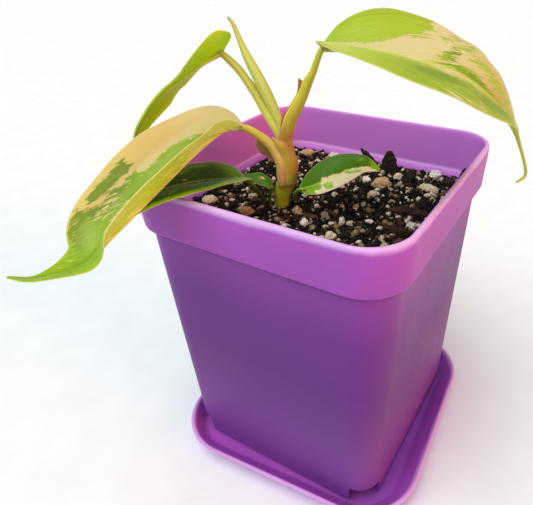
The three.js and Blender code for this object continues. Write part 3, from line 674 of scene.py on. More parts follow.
class PLANT_OT_mix(bpy.types.Operator):
    """Make the body of the potting mix and the crumbs, flakes and grit on it"""
    bl_idname = "plant.mix"
    bl_label = "Potting mix"

    def execute(self, context):
        settings = context.scene.plant_mix
        x, y = mix_top(0.45, 0.0)
        count = len(x)
        fine = 0.35 * np.sin(x * 3.1 + 2 * np.sin(y * 1.7)) * np.sin(y * 2.9 + 2 * np.sin(x * 1.3))
        top = np.stack([x, y, MIX_TOP + mix_relief(x, y) - 0.5 + fine], -1).reshape(-1, 3)
        ring = [i * count + j for j, i in border(count, count)]
        points, faces, previous = [top], grid_faces(count, count, flip=True), ring
        # the wall goes down straight behind the rim band, and then narrows with the pot
        for number, (narrow, height) in enumerate(((1, MIX_TOP - 3), (0.906, 14.5), (0.879, MIX_BOTTOM))):
            start = len(top) + number * len(ring)
            following = list(range(start, start + len(ring)))
            faces += bridge(previous, following)
            points.append(top[ring] * [narrow, narrow, 0] + [0, 0, height])
            previous = following
        faces.append(previous[::-1])
        body = Shape()
        body.add(np.concatenate(points), faces)
        dark = peat_and_bark("composted peat and bark fines", "#040303", "#0D0A09", "#1F1815", 900.0)
        finish_piece(body.make("potting_mix_body", [dark], sharp=180), "potting_mix", "potting_mix")

        x, y = mix_top(1.5, 1.0)
        ground = Shape()
        ground.add(np.stack([x, y, MIX_TOP + mix_relief(x, y) - 0.4], -1), grid_faces(*x.shape, flip=True))
        holder = ground.make("ground", [])
        surface = holder.data
        bpy.data.objects.remove(holder)
        crumb = peat_and_bark("peat crumbs", "#040303", "#0E0B0A", "#251C17", 700.0)
        flake = peat_and_bark("bark flakes", "#0C0908", "#251913", "#5E4030", 500.0)
        grit = expanded_perlite("perlite and pumice grit", "#E8E1CF", "#85704E", spread=0.42)
        pebble = expanded_perlite("pumice pebbles", "#CDBC98", "#6E5640", spread=0.35)
        # name, slot, how many on a square metre, smallest and largest; then for the tree: grain, material,
        # least and greatest squash, scale and depth of the lumps, and how far a grain is moved up
        laying = [
            ("peat_crumbs", "potting_mix", settings.crumbs, 0.0003, 0.0013,
             ("crumb", crumb, ((0.7, 0.7, 0.6), (1.3, 1.2, 1.0)), (900.0, 0.0009), (-0.0003, 0.0007))),
            ("bark_flakes", "bark", settings.flakes, 0.0005, 0.0024,
             ("flake", flake, ((0.8, 0.22, 0.10), (1.2, 0.5, 0.26)), (500.0, 0.0008), (0.0, 0.0010))),
            ("grit", "perlite_and_pumice", settings.grit, 0.0003, 0.0015,
             ("grit", grit, ((0.8, 0.7, 0.6), (1.25, 1.0, 0.95)), (700.0, 0.0008), (0.0, 0.0009))),
            ("pebbles", "perlite_and_pumice", settings.grit * 0.09, 0.0007, 0.0017,
             ("grit", pebble, ((0.9, 0.7, 0.6), (1.3, 1.0, 0.9)), (600.0, 0.0010), (-0.0002, 0.0007))),
        ]
        for number, (name, slot, density, smallest, largest, how) in enumerate(laying):
            values = {"Density": density, "Smallest": smallest, "Largest": largest,
                      "Seed": settings.seed + number}
            finish_piece(scattered(name, surface, scatter_tree(f"lay {name}", *how), values), slot)
        return {"FINISHED"}


def refined(nodes, name, levels, rough, scale, material_of, simple=False):
    """Copies solids' meshes into one finer mesh: merged, subdivided and roughened by a seeded noise."""
    joined = bmesh.new()
    slots = []
    for node in nodes:
        part = bmesh.new()
        part.from_mesh(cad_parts[node].data)
        bmesh.ops.remove_doubles(part, verts=part.verts, dist=1e-6)
        mesh = bpy.data.meshes.new(node + "_fine")
        part.to_mesh(mesh)
        part.free()
        holder = new_object(node + "_fine", mesh)
        modifier = holder.modifiers.new("finer", "SUBSURF")
        modifier.levels = modifier.render_levels = levels
        modifier.subdivision_type = "SIMPLE" if simple else "CATMULL_CLARK"
        fine = applied(holder)
        bpy.data.objects.remove(holder)
        joined.from_mesh(fine)
        slots += [material_of(node)] * len(fine.polygons)
    noise.seed_set(ROUGHNESS_SEED)
    for vert in joined.verts:
        coarse = noise.noise_vector(vert.co * scale)
        fine_push = noise.noise_vector(vert.co * scale * 3.1)
        vert.co += (coarse * 0.7 + fine_push * 0.35) * rough
    mesh = bpy.data.meshes.new(name)
    joined.normal_update()
    joined.to_mesh(mesh)
    joined.free()
    mesh.polygons.foreach_set("material_index", slots)
    mesh.shade_smooth()
    return new_object(name, mesh)


class PLANT_OT_stones(bpy.types.Operator):
    """Make the perlite and pumice lumps that lie in the mix"""
    bl_idname = "plant.stones"
    bl_label = "Stones"

    def execute(self, context):
        kind_of = {number: kind for kind, (_, _, numbers) in enumerate(STONE_KINDS.values())
                   for number in numbers}
        nodes = sorted(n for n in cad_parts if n.startswith("stone_"))
        stones = refined(nodes, "stones", 3, 0.00075, 560, lambda node: kind_of[int(node[-2:])])
        for name, (light, dark, _) in STONE_KINDS.items():
            stones.data.materials.append(expanded_perlite(name, light, dark))
        finish_piece(stones, "perlite_and_pumice", *nodes)
        return {"FINISHED"}


class PLANT_OT_bark(bpy.types.Operator):
    """Make the bark chips that lie in the mix or stand out of it"""
    bl_idname = "plant.bark"
    bl_label = "Bark"

    def execute(self, context):
        nodes = sorted(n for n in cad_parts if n.startswith("bark_"))
        black = ("bark_1", "bark_2", "bark_3", "bark_5")
        chips = refined(nodes, "bark_chips", 4, 0.00055, 700, lambda node: int(node not in black),
                        simple=True)
        chips.data.materials.append(charred_bark("charred bark", "#0D0A09", "#211B18", "#3A312B"))
        chips.data.materials.append(charred_bark("red-brown bark", "#1C100B", "#3F261B", "#6B4631"))
        finish_piece(chips, "bark", *nodes)
        return {"FINISHED"}


# The plant.

# Where the shoot stands in the mix.
SHOOT = np.array([-10.5, -11.5])
# How far a blade's half arches up, as a share of its width.
CROWN = 0.04

# Each leaf: heading in degrees; lobe, how far its left and right base reach back; rib, how far its midrib
# stands out below; wave of the margin; blunt, the share of its length that rounds off its base; stations
# along the midrib of reach, drift, height, roll, rise of the two halves, and left and right half width; and
# the petiole's route of x, y, z and radius.
LEAVES = {
    "leaf_front": dict(
        heading=246, rib=0.7, wave=0.1, slot="leaf_cream_and_green",
        stations=[
            (10.5, -3.0, 136.5, 9, 50, 0.6, 3.0), (17.5, -4.0, 137.0, 2, 47, 6.0, 9.5),
            (27.0, -1.7, 134.0, -1, 40, 12.0, 13.8), (37.5, 1.7, 129.5, -1, 40, 15.4, 16.4),
            (49.0, 5.0, 124.0, 1, 40, 15.4, 16.0), (61.0, 8.8, 118.5, 2, 37, 13.4, 13.6),
            (69.5, 12.0, 115.0, -1, 21, 10.4, 7.2), (80.5, 13.3, 116.0, 6, 14, 5.2, 1.7),
            (87.0, 10.5, 117.5, 8, 5, 0.4, 0.4)],
        petiole=[
            (-8.7, -12.7, 115.0, 1.6), (-9.0, -12.8, 118.5, 1.7), (-9.0, -12.7, 122.5, 1.7),
            (-10.5, -13.0, 126.5, 1.7), (-12.0, -14.2, 130.0, 1.6), (-14.5, -16.5, 133.3, 1.4),
            (-17.0, -19.0, 136.0, 1.2), (-18.6, -21.6, 136.8, 0.9)]),
    "leaf_right": dict(
        heading=8, rib=0.8, wave=0.08, slot="leaf_lime",
        stations=[
            (19.5, -6.0, 162.8, 5, 32, 6.0, 4.5), (27.0, -7.0, 163.3, 10, 24, 14.8, 13.4),
            (37.0, -8.5, 163.2, 10, 16, 18.9, 17.8), (48.5, -8.8, 161.2, 8, 10, 21.0, 20.0),
            (60.0, -7.5, 157.5, 4, 7, 20.6, 20.4), (68.0, -3.8, 151.0, -2, 11, 16.8, 12.8),
            (73.0, 3.0, 144.0, -9, 16, 9.2, 4.2), (76.5, 9.2, 136.0, -15, 12, 1.0, 1.0),
            (80.0, 12.2, 125.5, -19, 12, 0.9, 0.7), (77.8, 10.6, 122.4, -19, 10, 0.35, 0.35)],
        petiole=[
            (-9.4, -8.2, 131.2, 2.0), (-8.0, -8.2, 135.0, 2.3), (-6.1, -8.8, 139.0, 2.3),
            (-3.2, -9.5, 143.0, 2.1), (-0.3, -10.1, 147.5, 1.8), (2.2, -11.1, 151.5, 1.55),
            (4.9, -12.3, 155.0, 1.15), (7.0, -13.5, 158.5, 1.0), (9.6, -14.6, 162.4, 0.9),
            (12.4, -15.0, 163.0, 0.7)]),
    "leaf_back": dict(
        heading=180, lobe=(6.2, 1.2), rib=0.7, blunt=0.0, slot="leaf_plain_green",
        stations=[
            (33.5, -14.5, 154.0, -2, 28, 8.6, 6.6), (35.0, -6.0, 152.0, -3, 11, 9.8, 7.9),
            (38.0, 1.5, 148.6, -6, -4, 9.8, 8.6), (41.8, 8.4, 144.4, -9, -15, 8.4, 8.8),
            (45.0, 14.4, 138.8, -12, -22, 6.4, 6.6), (47.5, 19.0, 132.0, -15, -28, 3.7, 4.0),
            (48.2, 21.4, 123.6, -20, -31, 1.0, 0.9)],
        petiole=[
            (-10.6, -8.2, 126.6, 1.1), (-11.8, -7.6, 128.6, 1.3), (-13.4, -6.8, 130.6, 1.4),
            (-16.5, -5.5, 133.5, 1.5), (-21.0, -3.5, 137.0, 1.5),
            (-25.5, -1.5, 141.0, 1.5), (-30.0, 0.0, 145.0, 1.5), (-34.5, 1.5, 148.5, 1.5),
            (-39.5, 2.5, 151.5, 1.4), (-43.8, 2.6, 153.8, 1.1), (-45.0, -0.6, 153.4, 0.8)]),
    "leaf_low_left": dict(
        heading=250, rib=0.2, wave=0.12, slot="leaf_dark",
        stations=[
            (11.0, -4.0, 118.0, -6, 19, 2.2, 1.8), (15.5, -1.6, 121.0, -7, 20, 5.5, 6.0),
            (22.0, -0.5, 122.8, -7, 17, 8.0, 8.6), (29.0, -1.0, 124.2, -5, 11, 9.5, 9.5),
            (37.0, -1.8, 124.8, -3, 6, 9.5, 9.2), (45.0, -4.1, 123.6, -1, 4, 8.4, 8.6),
            (53.0, -6.5, 120.5, -3, 3, 6.6, 7.6), (60.6, -6.4, 116.2, 4, 10, 3.6, 3.6),
            (65.7, -5.8, 111.1, 6, 12, 0.5, 0.5)],
        petiole=[
            (-17.0, -13.3, 98.0, 0.9), (-17.0, -13.5, 103.5, 0.9), (-16.6, -14.0, 106.5, 0.9),
            (-16.6, -15.0, 109.5, 0.9), (-16.8, -17.5, 113.1, 0.9), (-16.9, -19.7, 116.1, 0.8),
            (-18.2, -21.4, 118.4, 0.8), (-18.6, -23.2, 119.6, 0.6)]),
    "leaf_low_right": dict(
        heading=22, rib=0.3, slot="leaf_juvenile",
        stations=[
            (8.5, -9.0, 117.0, 25, 5, 0.8, 2.5), (13.5, -5.5, 117.2, 25, 10, 5.8, 5.4),
            (18.5, -2.5, 118.5, 25, 14, 7.8, 6.8), (23.8, 0.3, 120.0, 25, 17, 7.4, 6.0),
            (29.2, 2.5, 120.8, 25, 19, 4.8, 3.2), (35.0, 3.5, 119.5, 25, 19, 0.7, 0.7)],
        petiole=[
            (-13.2, -4.6, 98.5, 0.8), (-11.0, -5.4, 104.0, 0.8), (-6.9, -8.5, 108.0, 0.7),
            (-3.5, -13.0, 112.5, 0.7), (0.8, -16.6, 116.8, 0.7), (3.0, -16.3, 117.2, 0.6)]),
    "leaf_small_left": dict(
        heading=232, rib=0.2, slot="leaf_juvenile",
        stations=[
            (3.9, 1.6, 113.8, -20, 8, 2.6, 2.3), (5.2, 0.1, 115.5, -20, 8, 3.6, 3.4),
            (7.1, -1.8, 116.5, -20, 8, 2.6, 3.2), (9.3, -4.2, 116.6, -20, 8, 1.5, 2.5),
            (11.9, -6.2, 117.2, -20, 8, 0.8, 0.8)],
        petiole=[
            (-15.8, -10.6, 98.5, 0.75), (-15.5, -11.3, 104.0, 0.75), (-14.6, -13.3, 107.5, 0.7),
            (-13.2, -14.8, 110.9, 0.7), (-11.8, -15.6, 113.8, 0.7), (-12.0, -16.7, 114.9, 0.6)]),
}

# Routes of x, y, z and radius: the shoot's green foot, the petiole bases rolled together above it, and the
# rolled new leaf.
INTERNODE = [
    (-11.6, -10.4, 92.0, 2.3), (-11.5, -10.5, 104.0, 2.6), (-11.0, -10.5, 107.5, 2.7),
    (-10.5, -10.5, 110.5, 3.0), (-9.6, -10.4, 114.2, 2.8)]
BUNDLE = [
    (-9.4, -9.8, 111.0, 1.8), (-8.5, -8.6, 114.0, 2.1), (-8.4, -8.0, 118.0, 2.2),
    (-8.6, -7.7, 123.0, 2.3), (-9.4, -7.9, 127.5, 2.5), (-9.7, -8.05, 130.6, 2.45), (-9.0, -8.3, 133.2, 2.15),
    (-8.2, -8.6, 135.6, 2.0)]
SPEAR = [
    (-10.6, -7.6, 126.2, 1.0), (-12.0, -6.8, 128.6, 1.1), (-13.9, -4.9, 131.6, 1.2),
    (-16.4, -2.7, 135.5, 1.6), (-19.8, -1.2, 139.9, 1.9),
    (-23.4, 0.1, 144.2, 2.0), (-27.2, 1.5, 148.3, 1.9), (-31.2, 2.9, 152.5, 1.7), (-34.8, 4.4, 156.8, 1.2),
    (-38.0, 6.0, 160.8, 0.9), (-40.5, 7.1, 163.8, 0.7), (-42.7, 7.4, 165.6, 0.5)]
# Level directions across the photo, to its right, and out of it, to the viewer.
TO_RIGHT, TO_VIEWER = np.array([0.8676, 0.4973, 0]), np.array([0.4973, -0.8676, 0])
# The inner and the free edge of the drying sheath.
SHEATH_INNER = [
    (-15.7, -12.6, 131.8), (-14.4, -11.8, 130.0), (-12.7, -10.9, 127.7), (-11.9, -10.6, 125.2),
    (-11.9, -10.9, 122.6)]
SHEATH_OUTER = [
    (-17.6, -13.4, 131.4), (-18.5, -13.8, 128.7), (-17.5, -13.2, 125.7), (-14.9, -11.8, 123.7),
    (-12.9, -11.0, 121.6)]


def blade_points(leaf, t, u):
    """The middle surface of a blade in millimetres, how far each point is from the midrib, and the half width
    there. t runs from base to tip, and u from the right margin (-1) over the midrib (0) to the left one."""
    heading = math.radians(leaf["heading"])
    out = np.array([math.cos(heading), math.sin(heading), 0.0])
    left = np.array([-out[1], out[0], 0.0])

    def place(s):
        row = between(leaf["stations"], s)
        start = np.array([SHOOT[0], SHOOT[1], 0.0])
        return start + row[..., :1] * out + row[..., 1:2] * left + row[..., 2:3] * np.array([0, 0, 1.0])

    along = unit(place(np.minimum(t + 1e-3, 1)) - place(np.maximum(t - 1e-3, 0)))
    side = unit(left - (along @ left)[..., None] * along)
    up = np.cross(along, side)
    row = between(leaf["stations"], t)
    roll = np.radians(row[..., 3])[..., None]
    side, up = np.cos(roll) * side + np.sin(roll) * up, np.cos(roll) * up - np.sin(roll) * side
    rise = np.radians(row[..., 4])[..., None]
    full = np.maximum(np.where(u > 0, row[..., 5], row[..., 6]), 0.3)[..., None]
    # the outline rounds off at the base and at the tip
    for blunt, run in ((leaf.get("blunt", 0.035), t), (0.02, 1 - t)):
        if blunt:
            full = full * np.sqrt(np.maximum(1 - (1 - np.clip(run / blunt, 0, 1)) ** 2, 0.004))[..., None]
    share, sign = np.abs(u)[..., None], np.sign(u)[..., None]
    width, bulge = share * full, full * CROWN * 4 * share * (1 - share)
    lobe = np.where(u > 0, *leaf.get("lobe", (0, 0)))[..., None]
    back = lobe * np.exp(-(t / 0.08) ** 2)[..., None] * np.sin(math.pi * share)
    point = (place(t) + side * sign * (width * np.cos(rise) - bulge * np.sin(rise))
             + up * (width * np.sin(rise) + bulge * np.cos(rise)) - along * back)
    return point, width[..., 0] * np.sign(u), full[..., 0]


def patch(t, u, outline, limit=1.0):
    """How far each point of the blade lies inside an outline of (t, u) corners: 0 on it and 1 at 5 mm inside.
    A low limit leaves the patch broken up by the streaks."""
    size = np.array([80.0, 15.0])
    spot = np.stack([t, u], -1) * size
    corners = np.array(outline) * size
    inside, nearest = np.zeros(t.shape, bool), np.full(t.shape, 1e9)
    for a, b in zip(corners, np.roll(corners, -1, axis=0)):
        edge = b - a
        share = np.clip((spot - a) @ edge / (edge @ edge), 0, 1)
        nearest = np.minimum(nearest, np.linalg.norm(spot - a - share[..., None] * edge, axis=-1))
        spans = (a[1] > spot[..., 1]) != (b[1] > spot[..., 1])
        inside ^= spans & (spot[..., 0] < a[0] + (spot[..., 1] - a[1]) / (edge[1] or 1.0) * edge[0])
    return np.clip(np.where(inside, nearest, -nearest) * 0.2, -1.5, limit)


def spots(t, u, *rows, join=np.maximum):
    """Soft ovals of strength, place (t, u) and half axes, 0 outside. The strongest counts, or their sum."""
    return join.reduce([strength * np.clip(1 - np.hypot((t - t0) / long, (u - u0) / wide), 0, 1)
                        for strength, t0, u0, long, wide in rows])


def most(*fields):
    """The largest of the fields at each point."""
    return np.maximum.reduce(fields)


# How each blade is marked, as fields over its t and u. green is above 0 on green parts and below 0 on cream
# ones. The second field pales the green: in places it is paler pigment, and in places a painted sheen that
# stands for the wax reflecting the sky. deep darkens it, and tan dries the cream. A field left out is 0.

def front_markings(t, u, upper):
    """Cream, with a lime tip and right half and a dark green patch where the two meet."""
    if not upper:
        green = -0.12 + 0.27 * step_up(0.20, 0.45, t) - spots(t, u, (0.4, 0.12, 0.75, 0.14, 0.6))
        return dict(green=green, wash=spots(t, u, (0.15, 0.45, 0.5, 0.3, 0.9)),
                    deep=0.10 + spots(t, u, (0.35, 0.40, 0.7, 0.16, 0.4)), tan=step_up(0.9, 0.99, t))
    main = patch(t, u, [
        (0.185, -0.15), (0.33, -0.16), (0.50, -0.20), (0.57, -0.22), (0.62, -0.12), (0.645, 0.05),
        (0.655, 1.3), (1.1, 1.3), (1.1, -1.3), (0.72, -1.3), (0.69, -0.98), (0.605, -0.93), (0.60, -0.72),
        (0.565, -0.60), (0.53, -0.63), (0.50, -0.56), (0.435, -0.53), (0.44, -0.46), (0.43, -0.39),
        (0.38, -0.36), (0.35, -0.42), (0.31, -0.38), (0.27, -0.32), (0.235, -0.28), (0.21, -0.21)])
    dark = patch(t, u, [
        (0.430, -0.62), (0.455, -0.58), (0.50, -0.61), (0.55, -0.66), (0.59, -0.74), (0.58, -0.89),
        (0.55, -0.88), (0.50, -0.86), (0.47, -0.88), (0.43, -0.84), (0.440, -0.75)], 0.30)
    broken = patch(t, u, [(0.49, -0.55), (0.60, -0.59), (0.61, -0.80), (0.53, -0.74), (0.50, -0.66)], 0.10)
    flecks = spots(t, u, (0.42, 0.56, -0.45, 0.18, 0.4), (0.40, 0.66, -0.75, 0.12, 0.35),
                   (0.34, 0.78, -0.55, 0.08, 0.5), (0.34, 0.80, 0.75, 0.12, 0.3))
    green = np.minimum(most(main * 2 + 0.05, dark * 2, broken), 0.42) - flecks
    deep = spots(t, u, (1.0, 0.63, -0.80, 0.10, 0.25), (0.9, 0.56, -0.6, 0.08, 0.3),
                 (0.7, 0.53, -0.5, 0.09, 0.15), (0.5, 0.68, -0.6, 0.12, 0.4))
    deep = most(np.clip(dark * 3 + 0.3, 0, 0.9), deep)
    # painted sheen where the wax reflects the sky: a pale band along the fold and a bluish patch at about two
    # thirds of the length
    wash = spots(t, u, (0.42, 0.36, -0.27, 0.24, 0.22), (0.42, 0.66, -0.35, 0.09, 0.5),
                 (0.22, 0.55, -0.35, 0.2, 0.3))
    lively = step_up(0.68, 0.76, t) * step_up(0.95, 0.84, t)
    return dict(green=green, wash=wash * (1 - lively), deep=deep * (1 - lively) + 0.15,
                tan=most(step_up(0.88, 0.99, t), 0.75 * step_up(0.05, 0.35, t) * step_up(-0.45, -0.62, u)))


def right_markings(t, u, upper):
    """Lime at the base and along the right half, cream beyond, with green streaks and cream bars."""
    if not upper:
        return dict(green=0.5, wash=0.2, deep=0.2, tan=step_up(0.6, 0.9, t))
    lime = patch(t, u, [
        (-0.05, 1.5), (-0.05, 0.18), (0.03, 0.24), (0.06, 0.14), (0.12, 0.10), (0.17, 0.11), (0.21, 0.18),
        (0.25, 0.27), (0.255, 0.37), (0.28, 0.45), (0.30, 0.55), (0.31, 0.65), (0.335, 0.72), (0.325, 0.80),
        (0.31, 0.86), (0.325, 1.5)])
    streaks = most(
        patch(t, u, [(0.375, 0.20), (0.385, 0.38), (0.40, 0.55), (0.43, 0.52), (0.42, 0.38),
                     (0.405, 0.23)], 0.10),
        patch(t, u, [(0.33, 0.04), (0.38, 0.11), (0.42, 0.20), (0.50, 0.21), (0.53, 0.12), (0.60, 0.16),
                     (0.63, 0.06), (0.55, -0.02), (0.45, 0.0)], 0.16),
        patch(t, u, [(0.26, 0.38), (0.31, 0.45), (0.34, 0.57), (0.30, 0.60), (0.27, 0.50)], 0.0),
        patch(t, u, [(0.33, 0.64), (0.40, 0.76), (0.47, 0.73), (0.46, 0.60), (0.40, 0.62)], 0.0),
        patch(t, u, [(0.37, 0.82), (0.42, 0.90), (0.50, 0.87), (0.47, 0.77)], -0.02),
        patch(t, u, [(0.50, 0.38), (0.56, 0.45), (0.62, 0.36), (0.56, 0.25)], -0.06),
        patch(t, u, [(0.42, 0.50), (0.50, 0.66), (0.62, 0.60), (0.76, 0.40), (0.74, 0.16), (0.60, 0.26),
                     (0.50, 0.36)], 0.05),
        patch(t, u, [(0.58, 0.0), (0.62, 0.22), (0.80, 0.34), (0.86, 0.20), (0.84, 0.0)], 0.14))
    near = patch(t, u, [(-0.05, 0.035), (0.45, 0.03), (0.60, 0.06), (0.72, 0.04), (0.90, 0.02), (0.92, -1.5),
                        (-0.05, -1.5)], 0.5 - 0.34 * step_up(0.28, 0.42, t))
    tail = patch(t, u, [(0.71, 0.02), (0.73, -0.5), (0.77, -1.5), (0.84, -1.5), (0.84, 0.30),
                        (0.78, 0.40)], 0.12)
    cream_bars = spots(t, u, (0.34, 0.40, -0.16, 0.12, 0.22), (0.20, 0.475, -0.35, 0.018, 0.7),
                       (0.16, 0.44, -0.92, 0.16, 0.20), (0.22, 0.60, -0.30, 0.03, 0.6),
                       (0.22, 0.68, -0.75, 0.04, 0.4), join=np.add)
    green = np.minimum(most(lime * 2, streaks, near * 2 - 2 * cream_bars, tail), 0.45)
    # paler green towards the base and the midrib; the oval on the lime left half near the base is a painted
    # sheen where the wax reflects the sky
    wash = np.where(u < 0.06, 0.40 * step_up(0.26, 0.10, t) * step_up(-0.98, -0.80, u)
                    + 0.26 * step_up(0.40, 0.15, t) + 0.34 * step_up(-0.45, -0.05, u),
                    spots(t, u, (0.22, 0.13, 0.35, 0.14, 0.5)))
    deep = spots(t, u, (0.8, 0.405, 0.38, 0.05, 0.25), (0.9, 0.47, 0.12, 0.14, 0.12),
                 (1.1, 0.385, -0.52, 0.10, 0.30), (1.0, 0.52, -0.62, 0.10, 0.40),
                 (0.8, 0.66, -0.35, 0.08, 0.40), (1.3, 0.77, 0.0, 0.07, 0.9))
    deep = most(deep, 0.25 * step_up(0.5, 1.0, u), 0.35 * (u < 0.03) * step_up(0.2, 0.35, t))
    tan = step_up(0.36, 0.60, t) * (0.55 + 0.45 * step_up(0.5, 0.0, u)) + 0.5 * step_up(0.66, 0.97, t)
    return dict(green=green, wash=wash, deep=deep, tan=tan)


def back_markings(t, u, upper):
    """Plain green, deeper on the right half."""
    return dict(green=1.2, deep=0.05 + 0.75 * step_up(0.05, -0.12, u) + 0.3 * step_up(0.6, 0.9, t))


def low_left_markings(t, u, upper):
    """Dark green, with a few pale flecks and a soft painted sheen near the right margin, where the wax
    reflects the sky.
    """
    flecks = spots(t, u, (1.0, 0.455, -0.15, 0.035, 0.07), (0.8, 0.545, 0.66, 0.025, 0.11),
                   (0.7, 0.405, -0.09, 0.025, 0.04), (0.6, 0.44, 0.25, 0.012, 0.2))
    deep = (1.0 - 0.9 * step_up(0.72, 0.98, u) - 0.90 * step_up(0.40, 0.05, t) - 0.3 * step_up(-0.8, -1.0, u)
            - 0.3 * step_up(0.0, 0.15, u))
    # painted sheen near the right margin, with small painted whitish glints inside it
    sheen = spots(t, u, (0.30, 0.34, -0.78, 0.22, 0.22), (0.35, 0.45, -0.58, 0.05, 0.2), join=np.add)
    return dict(green=1.0 - 1.6 * flecks, wash=sheen, deep=deep, tan=0.3)


def low_right_markings(t, u, upper):
    """Green, with a cream right half that has green islands."""
    if not upper:
        return dict(green=1.0, deep=0.1)
    cream = patch(t, u, [
        (0.24, -0.20), (0.30, 0.16), (0.36, 0.17), (0.45, 0.10), (0.55, 0.05), (0.72, 0.06), (0.87, 0.12),
        (0.89, 0.0), (0.96, -0.3), (0.96, -1.5), (0.14, -1.5), (0.14, -0.62), (0.22, -0.66), (0.25, -0.4)])
    islands = most(
        patch(t, u, [(0.26, -0.28), (0.32, -0.30), (0.37, -0.45), (0.36, -0.85), (0.30, -0.92),
                     (0.26, -0.7)]),
        patch(t, u, [(0.56, 0.06), (0.60, 0.05), (0.62, -0.2), (0.71, -0.28), (0.69, -0.48), (0.60, -0.45),
                     (0.57, -0.25)]),
        patch(t, u, [(0.60, -0.5), (0.74, -0.42), (0.77, -0.68), (0.68, -0.66)], 0.0))
    # the first two pale the green islands; the last is a painted sheen across the left half near the tip
    wash = spots(t, u, (0.55, 0.32, -0.6, 0.1, 0.45), (0.35, 0.66, -0.4, 0.1, 0.3),
                 (0.25, 0.79, 0.6, 0.10, 0.35))
    deep = 0.85 * step_up(0.02, 0.15, u) * step_up(0.95, 0.80, t) + 0.25 * step_up(0.3, 0.1, t)
    return dict(green=most(-cream, islands * 1.2), wash=wash, deep=deep)


def small_left_markings(t, u, upper):
    """Green, with one paler spot."""
    return dict(green=0.5 - spots(t, u, (0.9, 0.48, -0.35, 0.25, 0.5)), deep=0.5)


# Each leaf's markings; the cream, tan, light green and deep green of its upper and of its under side; its
# roughness; and its petiole's colours from foot to blade, with the colour of the streaks along it.
LEAF_FINISH = {
    "leaf_front": (
        front_markings, ("#D2C68E", "#C6AA62", "#8AAE20", "#6A8206"),
        ("#DCDE84", "#CCCA66", "#B4C832", "#94B01E"), 0.42,
        ["#D4A460", "#DFBE70", "#E6D26C", "#D8D046", "#D4CE44"], "#EFC99C"),
    "leaf_right": (
        right_markings, ("#C6C190", "#B09E54", "#9AB42A", "#729214"),
        ("#CFCE90", "#B8A45C", "#B0C446", "#93A430"), 0.42,
        [(0.0, "#CBA444"), (0.10, "#DCC04C"), (0.22, "#E0CC4C"), (0.42, "#E2D84A"), (0.75, "#D2D244"),
         (1.0, "#BCC23A")], "#E0D868"),
    "leaf_back": (
        back_markings, ("#C2C650", "#B0A840", "#A2C41A", "#8C9E18"),
        ("#D0D080", "#B0A860", "#A4D008", "#A2B412"), 0.42,
        [(0.0, "#C8AE52"), (0.3, "#CAC858"), (0.7, "#C4BE4A"), (1.0, "#C0C24A")], "#A39E28"),
    "leaf_low_left": (
        low_left_markings, ("#C0C060", "#8A8A38", "#6FA422", "#204A06"),
        ("#B0B060", "#8A8A38", "#7A9A3A", "#5A7A2A"), 0.25, ["#2E4410", "#426618", "#548420"], "#648A2C"),
    "leaf_low_right": (
        low_right_markings, ("#E4E2AE", "#C8BE80", "#80B41E", "#3F7604"),
        ("#C8D090", "#A8A860", "#8FB050", "#6F9040"), 0.32,
        [(0.0, "#4F641C"), (0.6, "#66842A"), (1.0, "#72963A")], "#90A860"),
    "leaf_small_left": (
        small_left_markings, ("#D6D898", "#B8B068", "#70A824", "#3A740C"),
        ("#C8D090", "#A8A860", "#8AAA48", "#6A8A38"), 0.30,
        [(0.0, "#3E5214"), (0.6, "#54841C"), (1.0, "#609424")], "#80AA40"),
}


